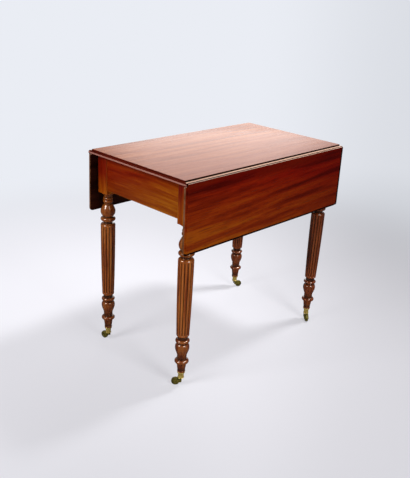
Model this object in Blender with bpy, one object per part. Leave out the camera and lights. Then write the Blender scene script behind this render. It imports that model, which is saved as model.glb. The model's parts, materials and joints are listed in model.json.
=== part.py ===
"""Drop-leaf serving table: a mahogany top and two rule-jointed leaves on four turned, reeded legs with castors.

Metres, +Z up. The origin is on the floor under the middle of the table. X runs along the leaves, the front
leaf hangs on the -Y side, and the left end is at -X. Side pieces are drawn for the rear, and turned half round
for the front.
"""

import math

import bmesh
import bpy
from mathutils import Matrix

# Fit: touching pieces keep this gap, and a cutter runs this far past the face it opens
GAP = 0.0003
PAST = 0.001

# Table top: the flat inside the fillet, and the moulding's steps
HEIGHT = 0.720
TOP_LENGTH = 0.787
TOP_WIDTH = 0.440
FILLET = 0.0045
EDGE_OVOLO = 0.006
JOINT_LEDGE = 0.005
JOINT_OVOLO = 0.0073
PIN_TO_UNDERSIDE = 0.0024
LEDGE_FALL = 0.0004
TOP_THICKNESS = FILLET + JOINT_OVOLO + PIN_TO_UNDERSIDE
UNDERSIDE = HEIGHT - TOP_THICKNESS

# Leaves: the hinge axis, and how far each free edge lies from it
PIN_Y = TOP_WIDTH / 2 + JOINT_LEDGE
PIN_Z = HEIGHT - FILLET - JOINT_OVOLO
LEAF_REACH = {"front": 0.2205, "rear": 0.2035}
LEAF_HALF_LENGTH = TOP_LENGTH / 2 + EDGE_OVOLO
LEAF_CORNER = 0.011
LEAF_OUT_OF_PLUMB = math.radians(0.75)
COVE = JOINT_OVOLO + GAP

# Legs: axis positions, the square post and the turned lengths below it
LEG_X = 0.3485
LEG_Y = 0.194
POST = 0.046
POST_BOTTOM = 0.570
POST_EASE = 0.002
POST_COVE = 0.564
POST_COVE_RADIUS = 0.0168
POST_NECK = 0.556
POST_NECK_RADIUS = 0.0138
TURNED_SIDES = 16
REEDS = 14
REED_DEPTH = 0.0032
REED_STOP = 0.0045
COLUMN_TOP = 0.4525
COLUMN_BOTTOM = 0.192
COLUMN_TOP_RADIUS = 0.0255
COLUMN_BOTTOM_RADIUS = 0.0212
COLUMN_NECK_RADIUS = 0.0152
TOP_SHOULDER = 0.0075
BOTTOM_SHOULDER = 0.0065
FOOT_TOP = 0.0840
FOOT_TOP_RADIUS = 0.0160
FOOT_BOTTOM = 0.0515
FOOT_RADIUS = 0.0124
# Each turned bead: middle height, half height, radius at its ends, radius at its crown, rings
SMALL_BEADS = ((0.5490, 0.0042, 0.0140, 0.0165, 2), (0.5390, 0.0055, 0.0138, 0.0176, 4))
UPPER_BEAD = (0.4752, 0.0074, 0.0160, 0.0257, 4)
LOWER_BEAD = (0.1692, 0.0058, 0.0165, 0.0234, 4)
BOTTOM_BEAD = (0.0928, 0.0070, 0.0155, 0.0236, 4)
FOOT_BEAD = (0.0545, 0.0027, 0.0124, 0.0134, 2)
# Each pear: height of its widest ring, from there to its full and to its slim end, radius at its ends and crown
UPPER_PEAR = (0.5040, -0.0180, 0.0240, 0.0150, 0.0253)
LOWER_PEAR = (0.1445, 0.0145, -0.0250, 0.0160, 0.0236)

# Rails between the posts
RAIL_BOTTOM = 0.585
RAIL_TOP = UNDERSIDE - GAP
RAIL_THICK = 0.020
END_RAIL_SETBACK = 0.001
SIDE_RAIL_SETBACK = 0.0005
END_RAIL_X = LEG_X + POST / 2 - END_RAIL_SETBACK - RAIL_THICK / 2
SIDE_RAIL_Y = LEG_Y - POST / 2 + SIDE_RAIL_SETBACK + RAIL_THICK / 2
TENON_LENGTH = 0.016
TENON_THICK = 0.010
TENON_INSET = 0.015

# Outer side rails and the fly, on a wooden knuckle joint
FLY_SETBACK = 0.0015
FLY_INNER = SIDE_RAIL_Y + RAIL_THICK / 2 + GAP
FLY_OUTER = LEG_Y + POST / 2 - FLY_SETBACK
FLY_THICK = FLY_OUTER - FLY_INNER
FLY_Y = (FLY_INNER + FLY_OUTER) / 2
FLY_PIN_X = -0.060
FLY_REACH = 0.205
FLY_BEVEL = 0.014
FLY_END_GAP = 0.0010
KNUCKLES = 5
KNUCKLE_EASE = 0.0004
KNUCKLE_RADIUS = FLY_THICK / 2 - KNUCKLE_EASE
KNUCKLE_SPACE = KNUCKLE_RADIUS + 0.0010
FLY_PIN_RADIUS = 0.0025

# Rule-joint hinges
HINGE_X = (-0.235, 0.235)
HINGE_WIDTH = 0.036
HINGE_PLATE = 0.0016
HINGE_INSET = 0.0002
TOP_PLATE_REACH = 0.030
LEAF_PLATE_REACH = 0.055
BARREL_RADIUS = 0.0023
TROUGH_RADIUS = 0.0027
MIDDLE_KNUCKLE = 0.012
PLATE_ROOT = 0.0031
HINGE_PIN_RADIUS = 0.0009
HINGE_BORE_RADIUS = 0.00125

# Castors: turned the way each one stands, in degrees about the leg from +X
CASTOR_TURN = {"front_left": 133, "rear_left": 99, "front_right": 228, "rear_right": -28}
CASTOR_TRAIL = 0.018
WHEEL_RADIUS = 0.0135
WHEEL_WIDTH = 0.012
WHEEL_SIDES = 20
# The wheel's section, as shares of its half width and of its radius
WHEEL_SECTION = ((-1.0, 0.70), (-0.8, 0.93), (-0.4, 1.0), (0.4, 1.0), (0.8, 0.93), (1.0, 0.70))
AXLE_RADIUS = 0.0018
AXLE_BORE = 0.0022
HORN_RADIUS = 0.0098
HORN_FLANGE = 0.0107
FLANGE_STEP = 0.0014
HORN_BOTTOM = 0.0275
HORN_ARM = 0.0020
HORN_CROWN = 0.0262
HORN_HEEL = 0.0172
HORN_LEAD = 0.0012
HORN_BACK = 0.0044
HORN_EYE = 0.0046
WEB_INNER = 0.0150
WEB_OUTER = 0.0168
SPINDLE_RADIUS = 0.0035
SPINDLE_BORE = 0.0040
SPINDLE_TOP = 0.090
PLATE_RADIUS = 0.0126
PLATE_THICK = 0.0040
RIVET_RADIUS = 0.0050
RIVET_THICK = 0.0018

# Fixing blocks and their screws
BLOCK_Y = 0.095
BLOCK_SIZE = (0.022, 0.044, 0.028)
SCREW_RADIUS = 0.0019
SCREW_HOLE = 0.0023
SCREW_HEAD_RADIUS = 0.0040
SCREW_HEAD = 0.0024
SCREW_BITE = 0.0080


# Basic shapes


def new_mesh(shape):
    """Turns a finished bmesh into a mesh with its faces pointing out."""
    bmesh.ops.recalc_face_normals(shape, faces=shape.faces)
    mesh = bpy.data.meshes.new("shape")
    shape.to_mesh(mesh)
    shape.free()
    return mesh


def stitch(shape, lower, upper):
    """Joins two rings of different numbers of points with triangles."""
    low = 0
    high = 0
    while low < len(lower) or high < len(upper):
        side = (lower[low % len(lower)], upper[high % len(upper)])
        if (low + 1) * len(upper) <= (high + 1) * len(lower):
            low += 1
            shape.faces.new((*side, lower[low % len(lower)]))
        else:
            high += 1
            shape.faces.new((*side, upper[high % len(upper)]))


def loft(rings):
    """Skins rings of points, in order, and caps both ends."""
    shape = bmesh.new()
    loops = []
    for ring in rings:
        loops.append([shape.verts.new(point) for point in ring])
    for lower, upper in zip(loops, loops[1:]):
        if len(lower) != len(upper):
            stitch(shape, lower, upper)
            continue
        for index in range(len(lower)):
            after = (index + 1) % len(lower)
            shape.faces.new((lower[index], lower[after], upper[after], upper[index]))
    shape.faces.new(loops[0])
    shape.faces.new(loops[-1])
    return new_mesh(shape)


def box(low, high):
    """An upright box between two corners."""
    rings = []
    for z in (low[2], high[2]):
        corners = ((low[0], low[1]), (high[0], low[1]), (high[0], high[1]), (low[0], high[1]))
        rings.append([(x, y, z) for x, y in corners])
    return loft(rings)


def prism_along_x(outline, low, high):
    """Extrudes an outline of (y, z) points from low to high along X."""
    return loft([[(x, y, z) for y, z in outline] for x in (low, high)])


def prism_along_y(outline, low, high):
    """Extrudes an outline of (x, z) points from low to high along Y."""
    return loft([[(x, y, z) for x, z in outline] for y in (low, high)])


def prism_along_z(outline, low, high):
    """Extrudes an outline of (x, y) points from low to high along Z."""
    return loft([[(x, y, z) for x, y in outline] for z in (low, high)])


def arc(centre, radius, start, end, steps):
    """Points on an arc, both ends included, with the angles in degrees."""
    points = []
    for step in range(steps + 1):
        angle = math.radians(start + (end - start) * step / steps)
        points.append((centre[0] + radius * math.cos(angle), centre[1] + radius * math.sin(angle)))
    return points


def circle(centre, radius, sides, phase=0.0):
    """The corners of a regular polygon, the first at the phase angle in degrees."""
    return arc(centre, radius, phase, phase + 360 * (sides - 1) / sides, sides - 1)


def turned(profile, sides):
    """Turns a profile of (radius, height) points, bottom to top, about Z."""
    rings = []
    for radius, z in profile:
        rings.append([(x, y, z) for x, y in circle((0, 0), radius, sides)])
    return loft(rings)


def combined(base, others, operation):
    """The mesh left when the other meshes are cut from the base, or joined to it."""
    home = bpy.context.scene.collection.objects
    body = bpy.data.objects.new("body", base)
    home.link(body)
    helpers = [body]
    for other in others:
        tool = bpy.data.objects.new("tool", other)
        home.link(tool)
        helpers.append(tool)
        modifier = body.modifiers.new("boolean", "BOOLEAN")
        modifier.operation = operation
        modifier.object = tool
    bpy.context.view_layer.update()
    graph = bpy.context.evaluated_depsgraph_get()
    mesh = bpy.data.meshes.new_from_object(body.evaluated_get(graph))
    for helper in helpers:
        bpy.data.objects.remove(helper)
    return mesh


def cut(base, *cutters):
    return combined(base, cutters, "DIFFERENCE")


def joined(base, *others):
    return combined(base, others, "UNION")


def moved(mesh, x=0.0, y=0.0, z=0.0):
    """Shifts a mesh in place and gives it back."""
    mesh.transform(Matrix.Translation((x, y, z)))
    return mesh


# Materials and objects


def material(name, colour, roughness, metallic=0.0):
    """A Principled material of one colour."""
    finish = bpy.data.materials.new(name)
    finish.use_nodes = True
    shader = finish.node_tree.nodes["Principled BSDF"]
    shader.inputs["Base Color"].default_value = (*colour, 1.0)
    shader.inputs["Roughness"].default_value = roughness
    shader.inputs["Metallic"].default_value = metallic
    return finish


def add(name, mesh, finish, location=(0.0, 0.0, 0.0), turn=(0.0, 0.0, 0.0), parent=None, smooth=False):
    """Adds one sub-part, placed under its parent when it has one."""
    mesh.name = name
    mesh.materials.clear()
    mesh.materials.append(finish)
    if smooth:
        mesh.shade_smooth()
        mesh.set_sharp_from_angle(angle=math.radians(40))
    item = bpy.data.objects.new(name, mesh)
    bpy.context.scene.collection.objects.link(item)
    item.location = location
    item.rotation_euler = turn
    item.parent = parent
    return item


def empty(name, location, turn):
    """A joint frame that moving pieces are parented to."""
    item = bpy.data.objects.new(name, None)
    bpy.context.scene.collection.objects.link(item)
    item.location = location
    item.rotation_euler = turn
    return item


def side_turn(side):
    """The turn about Z that takes a rear piece to this side."""
    return math.pi if side == "front" else 0.0


def side_sign(side):
    return -1 if side == "front" else 1


# Top and leaves


def hinge_pocket(x, low, high):
    """Cutter for a hinge in the top: its plate, its barrel's trough, and the way out for the leaf plate."""
    below = -PIN_TO_UNDERSIDE - PAST
    trough = TROUGH_RADIUS
    outline = [(low, below), (high, below), (high, -GAP), (trough, -GAP), (trough, trough)]
    outline += [(-trough, trough), (-trough, -GAP), (low, -GAP)]
    half = HINGE_WIDTH / 2 + GAP
    return prism_along_x(outline, x - half, x + half)


def top_rings():
    """Rectangles from the top surface down: fillet, then the ovolo of the ends and that of the sides."""
    half_x = TOP_LENGTH / 2
    half_y = TOP_WIDTH / 2
    steps = [(0.0, 0.0), (FILLET, 0.0), (FILLET + LEDGE_FALL, JOINT_LEDGE)]
    last = math.degrees(math.acos(-PIN_TO_UNDERSIDE / JOINT_OVOLO))
    for angle in (25, 45, 68, 90, last):
        across = JOINT_LEDGE + JOINT_OVOLO * math.sin(math.radians(angle))
        depth = FILLET + JOINT_OVOLO * (1 - math.cos(math.radians(angle)))
        steps.append((depth, across))
    rings = []
    for depth, across in steps:
        below_fillet = min(max(depth - FILLET, 0.0), EDGE_OVOLO)
        along = math.sqrt(EDGE_OVOLO**2 - (EDGE_OVOLO - below_fillet) ** 2)
        x = half_x + along
        y = half_y + across
        z = HEIGHT - depth
        rings.append([(-x, -y, z), (x, -y, z), (x, y, z), (-x, y, z)])
    return rings


def top_mesh():
    """The fixed top, with pockets for the hinges and holes for the fixing screws."""
    cutters = []
    for x in HINGE_X:
        for side in ("front", "rear"):
            pocket = hinge_pocket(x, -TOP_PLATE_REACH - GAP, JOINT_OVOLO + PAST)
            if side == "front":
                pocket.transform(Matrix.Rotation(math.pi, 4, "Z"))
            cutters.append(moved(pocket, 0.0, side_sign(side) * PIN_Y, PIN_Z))
    for x, y in block_places():
        hole = turned([(SCREW_HOLE, UNDERSIDE - PAST), (SCREW_HOLE, UNDERSIDE + SCREW_BITE + GAP)], 12)
        cutters.append(moved(hole, x, y))
    return cut(loft(top_rings()), *cutters)


def leaf_outline(inset, reach, level):
    """One level of a raised leaf: straight at the joint, with round free corners."""
    x = LEAF_HALF_LENGTH - inset
    free = reach - inset
    radius = LEAF_CORNER - inset
    joint = -JOINT_LEDGE + GAP
    points = [(-x, joint), (x, joint)]
    points += arc((x - radius, free - radius), radius, 0, 90, 5)
    points += arc((radius - x, free - radius), radius, 90, 180, 5)
    return [(px, py, level) for px, py in points]


def leaf_mesh(reach):
    """A leaf as it lies raised, with its hinge axis at the origin and its free edge at +Y."""
    lip_top = JOINT_OVOLO - EDGE_OVOLO
    rings = [leaf_outline(0.0, reach, -PIN_TO_UNDERSIDE)]
    for angle in (0, 22, 45, 68, 90):
        inset = EDGE_OVOLO * (1 - math.cos(math.radians(angle)))
        level = lip_top + EDGE_OVOLO * math.sin(math.radians(angle))
        rings.append(leaf_outline(inset, reach, level))
    rings.append(leaf_outline(EDGE_OVOLO, reach, JOINT_OVOLO + FILLET))
    past = 2 * JOINT_LEDGE
    cove = [(-past, -COVE), (-past, COVE)] + arc((0, 0), COVE, 90, -90, 14)
    cutters = [prism_along_x(cove, -LEAF_HALF_LENGTH - PAST, LEAF_HALF_LENGTH + PAST)]
    half = HINGE_WIDTH / 2 + GAP
    for x in HINGE_X:
        low = (x - half, COVE / 2, -PIN_TO_UNDERSIDE - PAST)
        cutters.append(box(low, (x + half, LEAF_PLATE_REACH + GAP, -GAP)))
    return cut(loft(rings), *cutters)


def add_top_and_leaves(wood):
    """Adds the fixed top, and both leaves as they hang."""
    add("top_panel", top_mesh(), wood["top"])
    leaves = {}
    for side in ("front", "rear"):
        turn = (LEAF_OUT_OF_PLUMB - math.pi / 2, 0.0, side_turn(side))
        axis = (0.0, side_sign(side) * PIN_Y, PIN_Z)
        name = side + "_leaf"
        leaves[side] = add(name, leaf_mesh(LEAF_REACH[side]), wood["leaf"], axis, turn)
    return leaves


# Rule-joint hinges


def barrel(low, high, radius, sides):
    return prism_along_x(circle((0, 0), radius, sides, 360 / sides / 2), low, high)


def top_plate_mesh():
    """The hinge plate under the top: two outer knuckles, with room between them for the leaf's knuckle."""
    half = HINGE_WIDTH / 2
    middle = MIDDLE_KNUCKLE / 2 + GAP
    outline = [(-half, -TOP_PLATE_REACH), (half, -TOP_PLATE_REACH), (half, 0.0), (middle, 0.0)]
    outline += [(middle, -PLATE_ROOT), (-middle, -PLATE_ROOT), (-middle, 0.0), (-half, 0.0)]
    low = -PIN_TO_UNDERSIDE + HINGE_INSET
    plate = prism_along_z(outline, low, low + HINGE_PLATE)
    knuckles = (barrel(-half, -middle, BARREL_RADIUS, 12), barrel(middle, half, BARREL_RADIUS, 12))
    bore = barrel(-half - PAST, half + PAST, HINGE_BORE_RADIUS, 8)
    return cut(joined(plate, *knuckles), bore)


def leaf_plate_mesh():
    """The hinge plate under a leaf, with the middle knuckle."""
    half = HINGE_WIDTH / 2
    middle = MIDDLE_KNUCKLE / 2
    outline = [(-half, PLATE_ROOT), (-middle, PLATE_ROOT), (-middle, 0.0), (middle, 0.0)]
    outline += [(middle, PLATE_ROOT), (half, PLATE_ROOT), (half, LEAF_PLATE_REACH), (-half, LEAF_PLATE_REACH)]
    low = -PIN_TO_UNDERSIDE + HINGE_INSET
    plate = prism_along_z(outline, low, low + HINGE_PLATE)
    knuckle = barrel(-middle, middle, BARREL_RADIUS, 12)
    bore = barrel(-middle - PAST, middle + PAST, HINGE_BORE_RADIUS, 8)
    return cut(joined(plate, knuckle), bore)


def add_hinges(leaves, iron):
    """Adds the hinges of both leaves: the leaf plates ride on their leaf."""
    top_plate = top_plate_mesh()
    leaf_plate = leaf_plate_mesh()
    pin = barrel(-HINGE_WIDTH / 2, HINGE_WIDTH / 2, HINGE_PIN_RADIUS, 8)
    for side, leaf in leaves.items():
        turn = (0.0, 0.0, side_turn(side))
        for x, end in zip(HINGE_X, ("left", "right")):
            name = f"{side}_{end}_hinge"
            place = (x, side_sign(side) * PIN_Y, PIN_Z)
            on_leaf = (x * side_sign(side), 0.0, 0.0)
            add(name + "_top_plate", top_plate, iron, place, turn)
            add(name + "_pin", pin, iron, place, turn)
            add(name + "_leaf_plate", leaf_plate, iron, on_leaf, parent=leaf)


# Legs


def bead(middle, half, ends, crown, rings):
    """(radius, height) points of a turned bead, from its top to its bottom."""
    points = []
    for step in range(rings + 1):
        angle = math.pi * step / rings
        points.append((ends + (crown - ends) * math.sin(angle), middle + half * math.cos(angle)))
    return points


def pear(widest, full, slim, ends, crown):
    """(radius, height) points of a pear from its top to its bottom: round to one end, slim to the other."""
    points = []
    for angle in (90, 60, 30):
        swell = math.cos(math.radians(angle))
        points.append((ends + (crown - ends) * swell, widest + full * math.sin(math.radians(angle))))
    for angle in (0, 25, 50, 90):
        share = math.sin(math.radians(angle))
        swell = (math.cos(math.radians(angle)) + (1 + math.cos(math.pi * share)) / 2) / 2
        points.append((ends + (crown - ends) * swell, widest + slim * share))
    return sorted(points, key=lambda point: -point[1])


def column_radius(z):
    """The column's radius over the reeds: it hardly tapers at its top and more and more towards its bottom."""
    share = (COLUMN_TOP - z) / (COLUMN_TOP - COLUMN_BOTTOM)
    return COLUMN_TOP_RADIUS - (COLUMN_TOP_RADIUS - COLUMN_BOTTOM_RADIUS) * share**2


def column_points():
    """The reeded column with its rounded shoulders, as (radius, height, reeded) from its top to its bottom."""
    points = []
    for angle in (0, 45, 90):
        swell = (COLUMN_TOP_RADIUS - COLUMN_NECK_RADIUS) * math.sin(math.radians(angle))
        rise = TOP_SHOULDER * math.cos(math.radians(angle))
        points.append((COLUMN_NECK_RADIUS + swell, COLUMN_TOP + rise, False))
    first = COLUMN_TOP - REED_STOP
    last = COLUMN_BOTTOM + REED_STOP
    for step in range(4):
        z = first + (last - first) * step / 3
        points.append((column_radius(z), z, True))
    for angle in (0, 45, 90):
        swell = (COLUMN_BOTTOM_RADIUS - COLUMN_NECK_RADIUS) * math.cos(math.radians(angle))
        fall = BOTTOM_SHOULDER * math.sin(math.radians(angle))
        points.append((COLUMN_NECK_RADIUS + swell, COLUMN_BOTTOM - fall, False))
    return points


def round_ring(radius, z, reeded=False):
    """One ring of the turned leg. On the column every second point lies in a groove between two reeds."""
    if not reeded:
        return [(x, y, z) for x, y in circle((0, 0), radius, TURNED_SIDES)]
    points = []
    for step in range(2 * REEDS):
        angle = math.pi * step / REEDS
        reach = radius - REED_DEPTH * (step % 2)
        points.append((reach * math.cos(angle), reach * math.sin(angle), z))
    return points


def square_ring(side, z):
    """One ring of the post, with as many points as a round ring."""
    points = []
    for step in range(TURNED_SIDES):
        angle = 2 * math.pi * step / TURNED_SIDES
        reach = side / 2 / max(abs(math.cos(angle)), abs(math.sin(angle)))
        points.append((reach * math.cos(angle), reach * math.sin(angle), z))
    return points


def leg_rings():
    """All rings of a leg from the post's top down to the foot."""
    rings = [square_ring(POST, RAIL_TOP), square_ring(POST, POST_BOTTOM)]
    rings.append(round_ring(POST / 2 - POST_EASE, POST_BOTTOM - POST_EASE))
    rings.append(round_ring(POST_COVE_RADIUS, POST_COVE))
    rings.append(round_ring(POST_NECK_RADIUS, POST_NECK))
    points = []
    for small in SMALL_BEADS:
        points += bead(*small)
    points += pear(*UPPER_PEAR) + bead(*UPPER_BEAD) + column_points()
    points += bead(*LOWER_BEAD) + pear(*LOWER_PEAR) + bead(*BOTTOM_BEAD)
    points += [(FOOT_TOP_RADIUS, FOOT_TOP)] + bead(*FOOT_BEAD) + [(FOOT_RADIUS, FOOT_BOTTOM)]
    return rings + [round_ring(*point) for point in points]


def leg_mesh(sign_x, sign_y):
    """A leg about its own axis, with mortises for both rails and a bore for the castor's spindle."""
    low = RAIL_BOTTOM + TENON_INSET - GAP
    high = RAIL_TOP - TENON_INSET + GAP
    half = TENON_THICK / 2 + GAP
    depth = POST / 2 - TENON_LENGTH - 2 * GAP
    past = POST / 2 + PAST
    end_x = sign_x * (END_RAIL_X - LEG_X)
    side_y = sign_y * (SIDE_RAIL_Y - LEG_Y)
    end_ys = sorted((-sign_y * depth, -sign_y * past))
    side_xs = sorted((-sign_x * depth, -sign_x * past))
    end_mortise = box((end_x - half, end_ys[0], low), (end_x + half, end_ys[1], high))
    side_mortise = box((side_xs[0], side_y - half, low), (side_xs[1], side_y + half, high))
    bore = turned([(SPINDLE_BORE, FOOT_BOTTOM - PAST), (SPINDLE_BORE, SPINDLE_TOP + 2 * GAP)], 12)
    return cut(loft(leg_rings()), end_mortise, side_mortise, bore)


def corners():
    """The four legs: name, sign along X and sign along Y."""
    for side, sign_y in (("front", -1), ("rear", 1)):
        for end, sign_x in (("left", -1), ("right", 1)):
            yield f"{side}_{end}", sign_x, sign_y


def add_legs(wood):
    for name, sign_x, sign_y in corners():
        place = (sign_x * LEG_X, sign_y * LEG_Y, 0.0)
        add(name + "_leg", leg_mesh(sign_x, sign_y), wood["leg"], place, smooth=True)


# Rails, flies and fixing blocks


def rail_mesh(half_length):
    """A rail along X about its own middle, with a tenon at each end."""
    half = RAIL_THICK / 2
    body = box((-half_length, -half, RAIL_BOTTOM), (half_length, half, RAIL_TOP))
    reach = half_length + TENON_LENGTH
    low = (-reach, -TENON_THICK / 2, RAIL_BOTTOM + TENON_INSET)
    return joined(body, box(low, (reach, TENON_THICK / 2, RAIL_TOP - TENON_INSET)))


def add_rails(wood):
    """Adds the end rails and the inner side rails, each between two posts."""
    between_y = LEG_Y - POST / 2 - GAP
    between_x = LEG_X - POST / 2 - GAP
    for end, sign in (("left", -1), ("right", 1)):
        place = (sign * END_RAIL_X, 0.0, 0.0)
        add(end + "_end_rail", rail_mesh(between_y), wood["rail"], place, (0.0, 0.0, math.pi / 2))
    for side in ("front", "rear"):
        place = (0.0, side_sign(side) * SIDE_RAIL_Y, 0.0)
        add(side + "_inner_rail", rail_mesh(between_x), wood["rail"], place)


def knuckle_prisms(first, toward):
    """Every second knuckle from the first up, each running back into its rail in the given X direction."""
    height = (RAIL_TOP - RAIL_BOTTOM) / KNUCKLES
    prisms = []
    for index in range(first, KNUCKLES, 2):
        start = 90 if toward > 0 else -90
        outline = arc((0, 0), KNUCKLE_RADIUS, start, start + 180, 10)
        root = toward * 2 * KNUCKLE_SPACE
        outline += [(root, -toward * KNUCKLE_RADIUS), (root, toward * KNUCKLE_RADIUS)]
        low = RAIL_BOTTOM + index * height + GAP
        prisms.append(prism_along_z(outline, low, low + height - 2 * GAP))
    return prisms


def fly_pin_bore():
    radius = FLY_PIN_RADIUS + 2 * GAP
    return turned([(radius, RAIL_BOTTOM - PAST), (radius, RAIL_TOP + PAST)], 12)


def knuckle_rail_mesh():
    """The longer fixed outer rail, about the fly's pin, with its three knuckles."""
    start = -(LEG_X - POST / 2) + GAP - FLY_PIN_X
    half = FLY_THICK / 2
    body = box((start, -half, RAIL_BOTTOM), (-KNUCKLE_SPACE, half, RAIL_TOP))
    return cut(joined(body, *knuckle_prisms(0, -1)), fly_pin_bore())


def fly_mesh():
    """The fly about its pin, with two knuckles. Its free end is cut on a slant, to clear as it swings out."""
    half = FLY_THICK / 2
    outline = [(KNUCKLE_SPACE, -half), (FLY_REACH - FLY_BEVEL, -half), (FLY_REACH, half), (KNUCKLE_SPACE, half)]
    body = prism_along_z(outline, RAIL_BOTTOM, RAIL_TOP)
    return cut(joined(body, *knuckle_prisms(1, 1)), fly_pin_bore())


def stop_rail_mesh():
    """The shorter fixed outer rail, about the fly's pin, past the fly's free end."""
    half = FLY_THICK / 2
    end = LEG_X - POST / 2 - GAP - FLY_PIN_X
    near = FLY_REACH + FLY_END_GAP
    outline = [(near - FLY_BEVEL, -half), (end, -half), (end, half), (near, half)]
    return prism_along_z(outline, RAIL_BOTTOM, RAIL_TOP)


def add_flies(wood, iron):
    """Adds each side's outer rails, its fly and the fly's pin."""
    for side in ("front", "rear"):
        sign = side_sign(side)
        place = (sign * FLY_PIN_X, sign * FLY_Y, 0.0)
        turn = (0.0, 0.0, side_turn(side))
        pin = turned([(FLY_PIN_RADIUS, RAIL_BOTTOM + GAP), (FLY_PIN_RADIUS, RAIL_TOP - GAP)], 12)
        add(side + "_knuckle_rail", knuckle_rail_mesh(), wood["rail"], place, turn)
        add(side + "_stop_rail", stop_rail_mesh(), wood["rail"], place, turn)
        add(side + "_fly", fly_mesh(), wood["rail"], place, turn)
        add(side + "_fly_pin", pin, iron, place, turn, smooth=True)


def block_places():
    """Where the fixing blocks' screws stand."""
    x = END_RAIL_X - RAIL_THICK / 2 - GAP - BLOCK_SIZE[0] / 2
    return [(sign_x * x, sign_y * BLOCK_Y) for _, sign_x, sign_y in corners()]


def add_fixing_blocks(wood, iron):
    """Adds a block in each corner of the end rails, and the screw up through it into the top."""
    half_x = BLOCK_SIZE[0] / 2
    half_y = BLOCK_SIZE[1] / 2
    low = RAIL_TOP - BLOCK_SIZE[2]
    hole = [(SCREW_HOLE, low - PAST), (SCREW_HOLE, RAIL_TOP + PAST)]
    head_top = low - GAP
    profile = [(SCREW_HEAD_RADIUS, head_top - SCREW_HEAD), (SCREW_HEAD_RADIUS, head_top)]
    profile += [(SCREW_RADIUS, head_top), (SCREW_RADIUS, UNDERSIDE + SCREW_BITE)]
    for (name, _, _), (x, y) in zip(corners(), block_places()):
        block = cut(box((-half_x, -half_y, low), (half_x, half_y, RAIL_TOP)), turned(hole, 12))
        add(name + "_fixing_block", block, wood["rail"], (x, y, 0.0))
        add(name + "_fixing_screw", turned(profile, 12), iron, (x, y, 0.0), smooth=True)


# Castors


def castor_plate_mesh():
    """The plate under a foot, with the spindle up into the leg and the riveted stem that the horn turns on."""
    top = FOOT_BOTTOM - GAP
    profile = [(RIVET_RADIUS, HORN_BOTTOM - GAP - RIVET_THICK), (RIVET_RADIUS, HORN_BOTTOM - GAP)]
    profile += [(SPINDLE_RADIUS, HORN_BOTTOM - GAP), (SPINDLE_RADIUS, top - PLATE_THICK)]
    profile += [(PLATE_RADIUS, top - PLATE_THICK), (PLATE_RADIUS, top)]
    profile += [(SPINDLE_RADIUS, top), (SPINDLE_RADIUS, SPINDLE_TOP)]
    return turned(profile, 12)


def horn_mesh():
    """The swivelling horn: a flanged boss on the stem, and two cheeks joined by a web, down to the axle."""
    top = FOOT_BOTTOM - 2 * GAP - PLATE_THICK
    profile = [(HORN_RADIUS, HORN_BOTTOM), (HORN_FLANGE, HORN_BOTTOM + FLANGE_STEP)]
    profile += [(HORN_FLANGE, HORN_BOTTOM + 2 * FLANGE_STEP), (HORN_RADIUS, HORN_BOTTOM + 3 * FLANGE_STEP)]
    boss = turned(profile + [(HORN_RADIUS, top)], 16)
    bore = turned([(SPINDLE_BORE, HORN_BOTTOM - PAST), (SPINDLE_BORE, top + PAST)], 12)
    inner = WHEEL_WIDTH / 2 + 2 * GAP
    outer = inner + HORN_ARM
    crown = (HORN_LEAD, HORN_CROWN)
    axle = (CASTOR_TRAIL, WHEEL_RADIUS)
    slope = math.degrees(math.atan2(axle[1] - crown[1], axle[0] - crown[0]))
    outline = arc(axle, HORN_EYE, -90, slope + 90, 5)
    outline += arc(crown, HORN_BACK, slope + 90, 180, 4)
    outline += arc((HORN_LEAD, HORN_HEEL), HORN_BACK, 180, 270, 4)
    cheeks = (prism_along_y(outline, -outer, -inner), prism_along_y(outline, inner, outer))
    curve = arc(axle, WEB_INNER, 178, 118, 6) + arc(axle, WEB_OUTER, 118, 178, 6)
    web = prism_along_y(curve, GAP - outer, outer - GAP)
    hole = prism_along_y(circle(axle, AXLE_BORE, 8), -outer - PAST, outer + PAST)
    return cut(joined(boss, *cheeks, web), bore, hole)


def wheel_mesh():
    """A wheel about its axle, which runs along Y, with a flat of its tread on the floor."""
    tread = WHEEL_RADIUS / math.cos(math.pi / WHEEL_SIDES)
    rings = []
    for across, share in WHEEL_SECTION:
        outline = circle((0, 0), tread * share, WHEEL_SIDES, 90 + 180 / WHEEL_SIDES)
        rings.append([(x, across * WHEEL_WIDTH / 2, z) for x, z in outline])
    return cut(loft(rings), prism_along_y(circle((0, 0), AXLE_BORE, 8), -WHEEL_WIDTH, WHEEL_WIDTH))


def add_castors(brass):
    """Adds the four castors, each turned the way it stands."""
    plate = castor_plate_mesh()
    horn = horn_mesh()
    wheel = wheel_mesh()
    reach = WHEEL_WIDTH / 2 + 3 * GAP + HORN_ARM
    axle = prism_along_y(circle((0, 0), AXLE_RADIUS, 8), -reach, reach)
    for name, sign_x, sign_y in corners():
        place = (sign_x * LEG_X, sign_y * LEG_Y, 0.0)
        turn = (0.0, 0.0, math.radians(CASTOR_TURN[name]))
        swivel = empty(name + "_swivel", place, turn)
        on_axle = (CASTOR_TRAIL, 0.0, WHEEL_RADIUS)
        add(name + "_castor_plate", plate, brass, place, smooth=True)
        add(name + "_castor_horn", horn, brass, parent=swivel, smooth=True)
        add(name + "_castor_axle", axle, brass, on_axle, parent=swivel, smooth=True)
        add(name + "_castor_wheel", wheel, brass, on_axle, parent=swivel, smooth=True)


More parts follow.
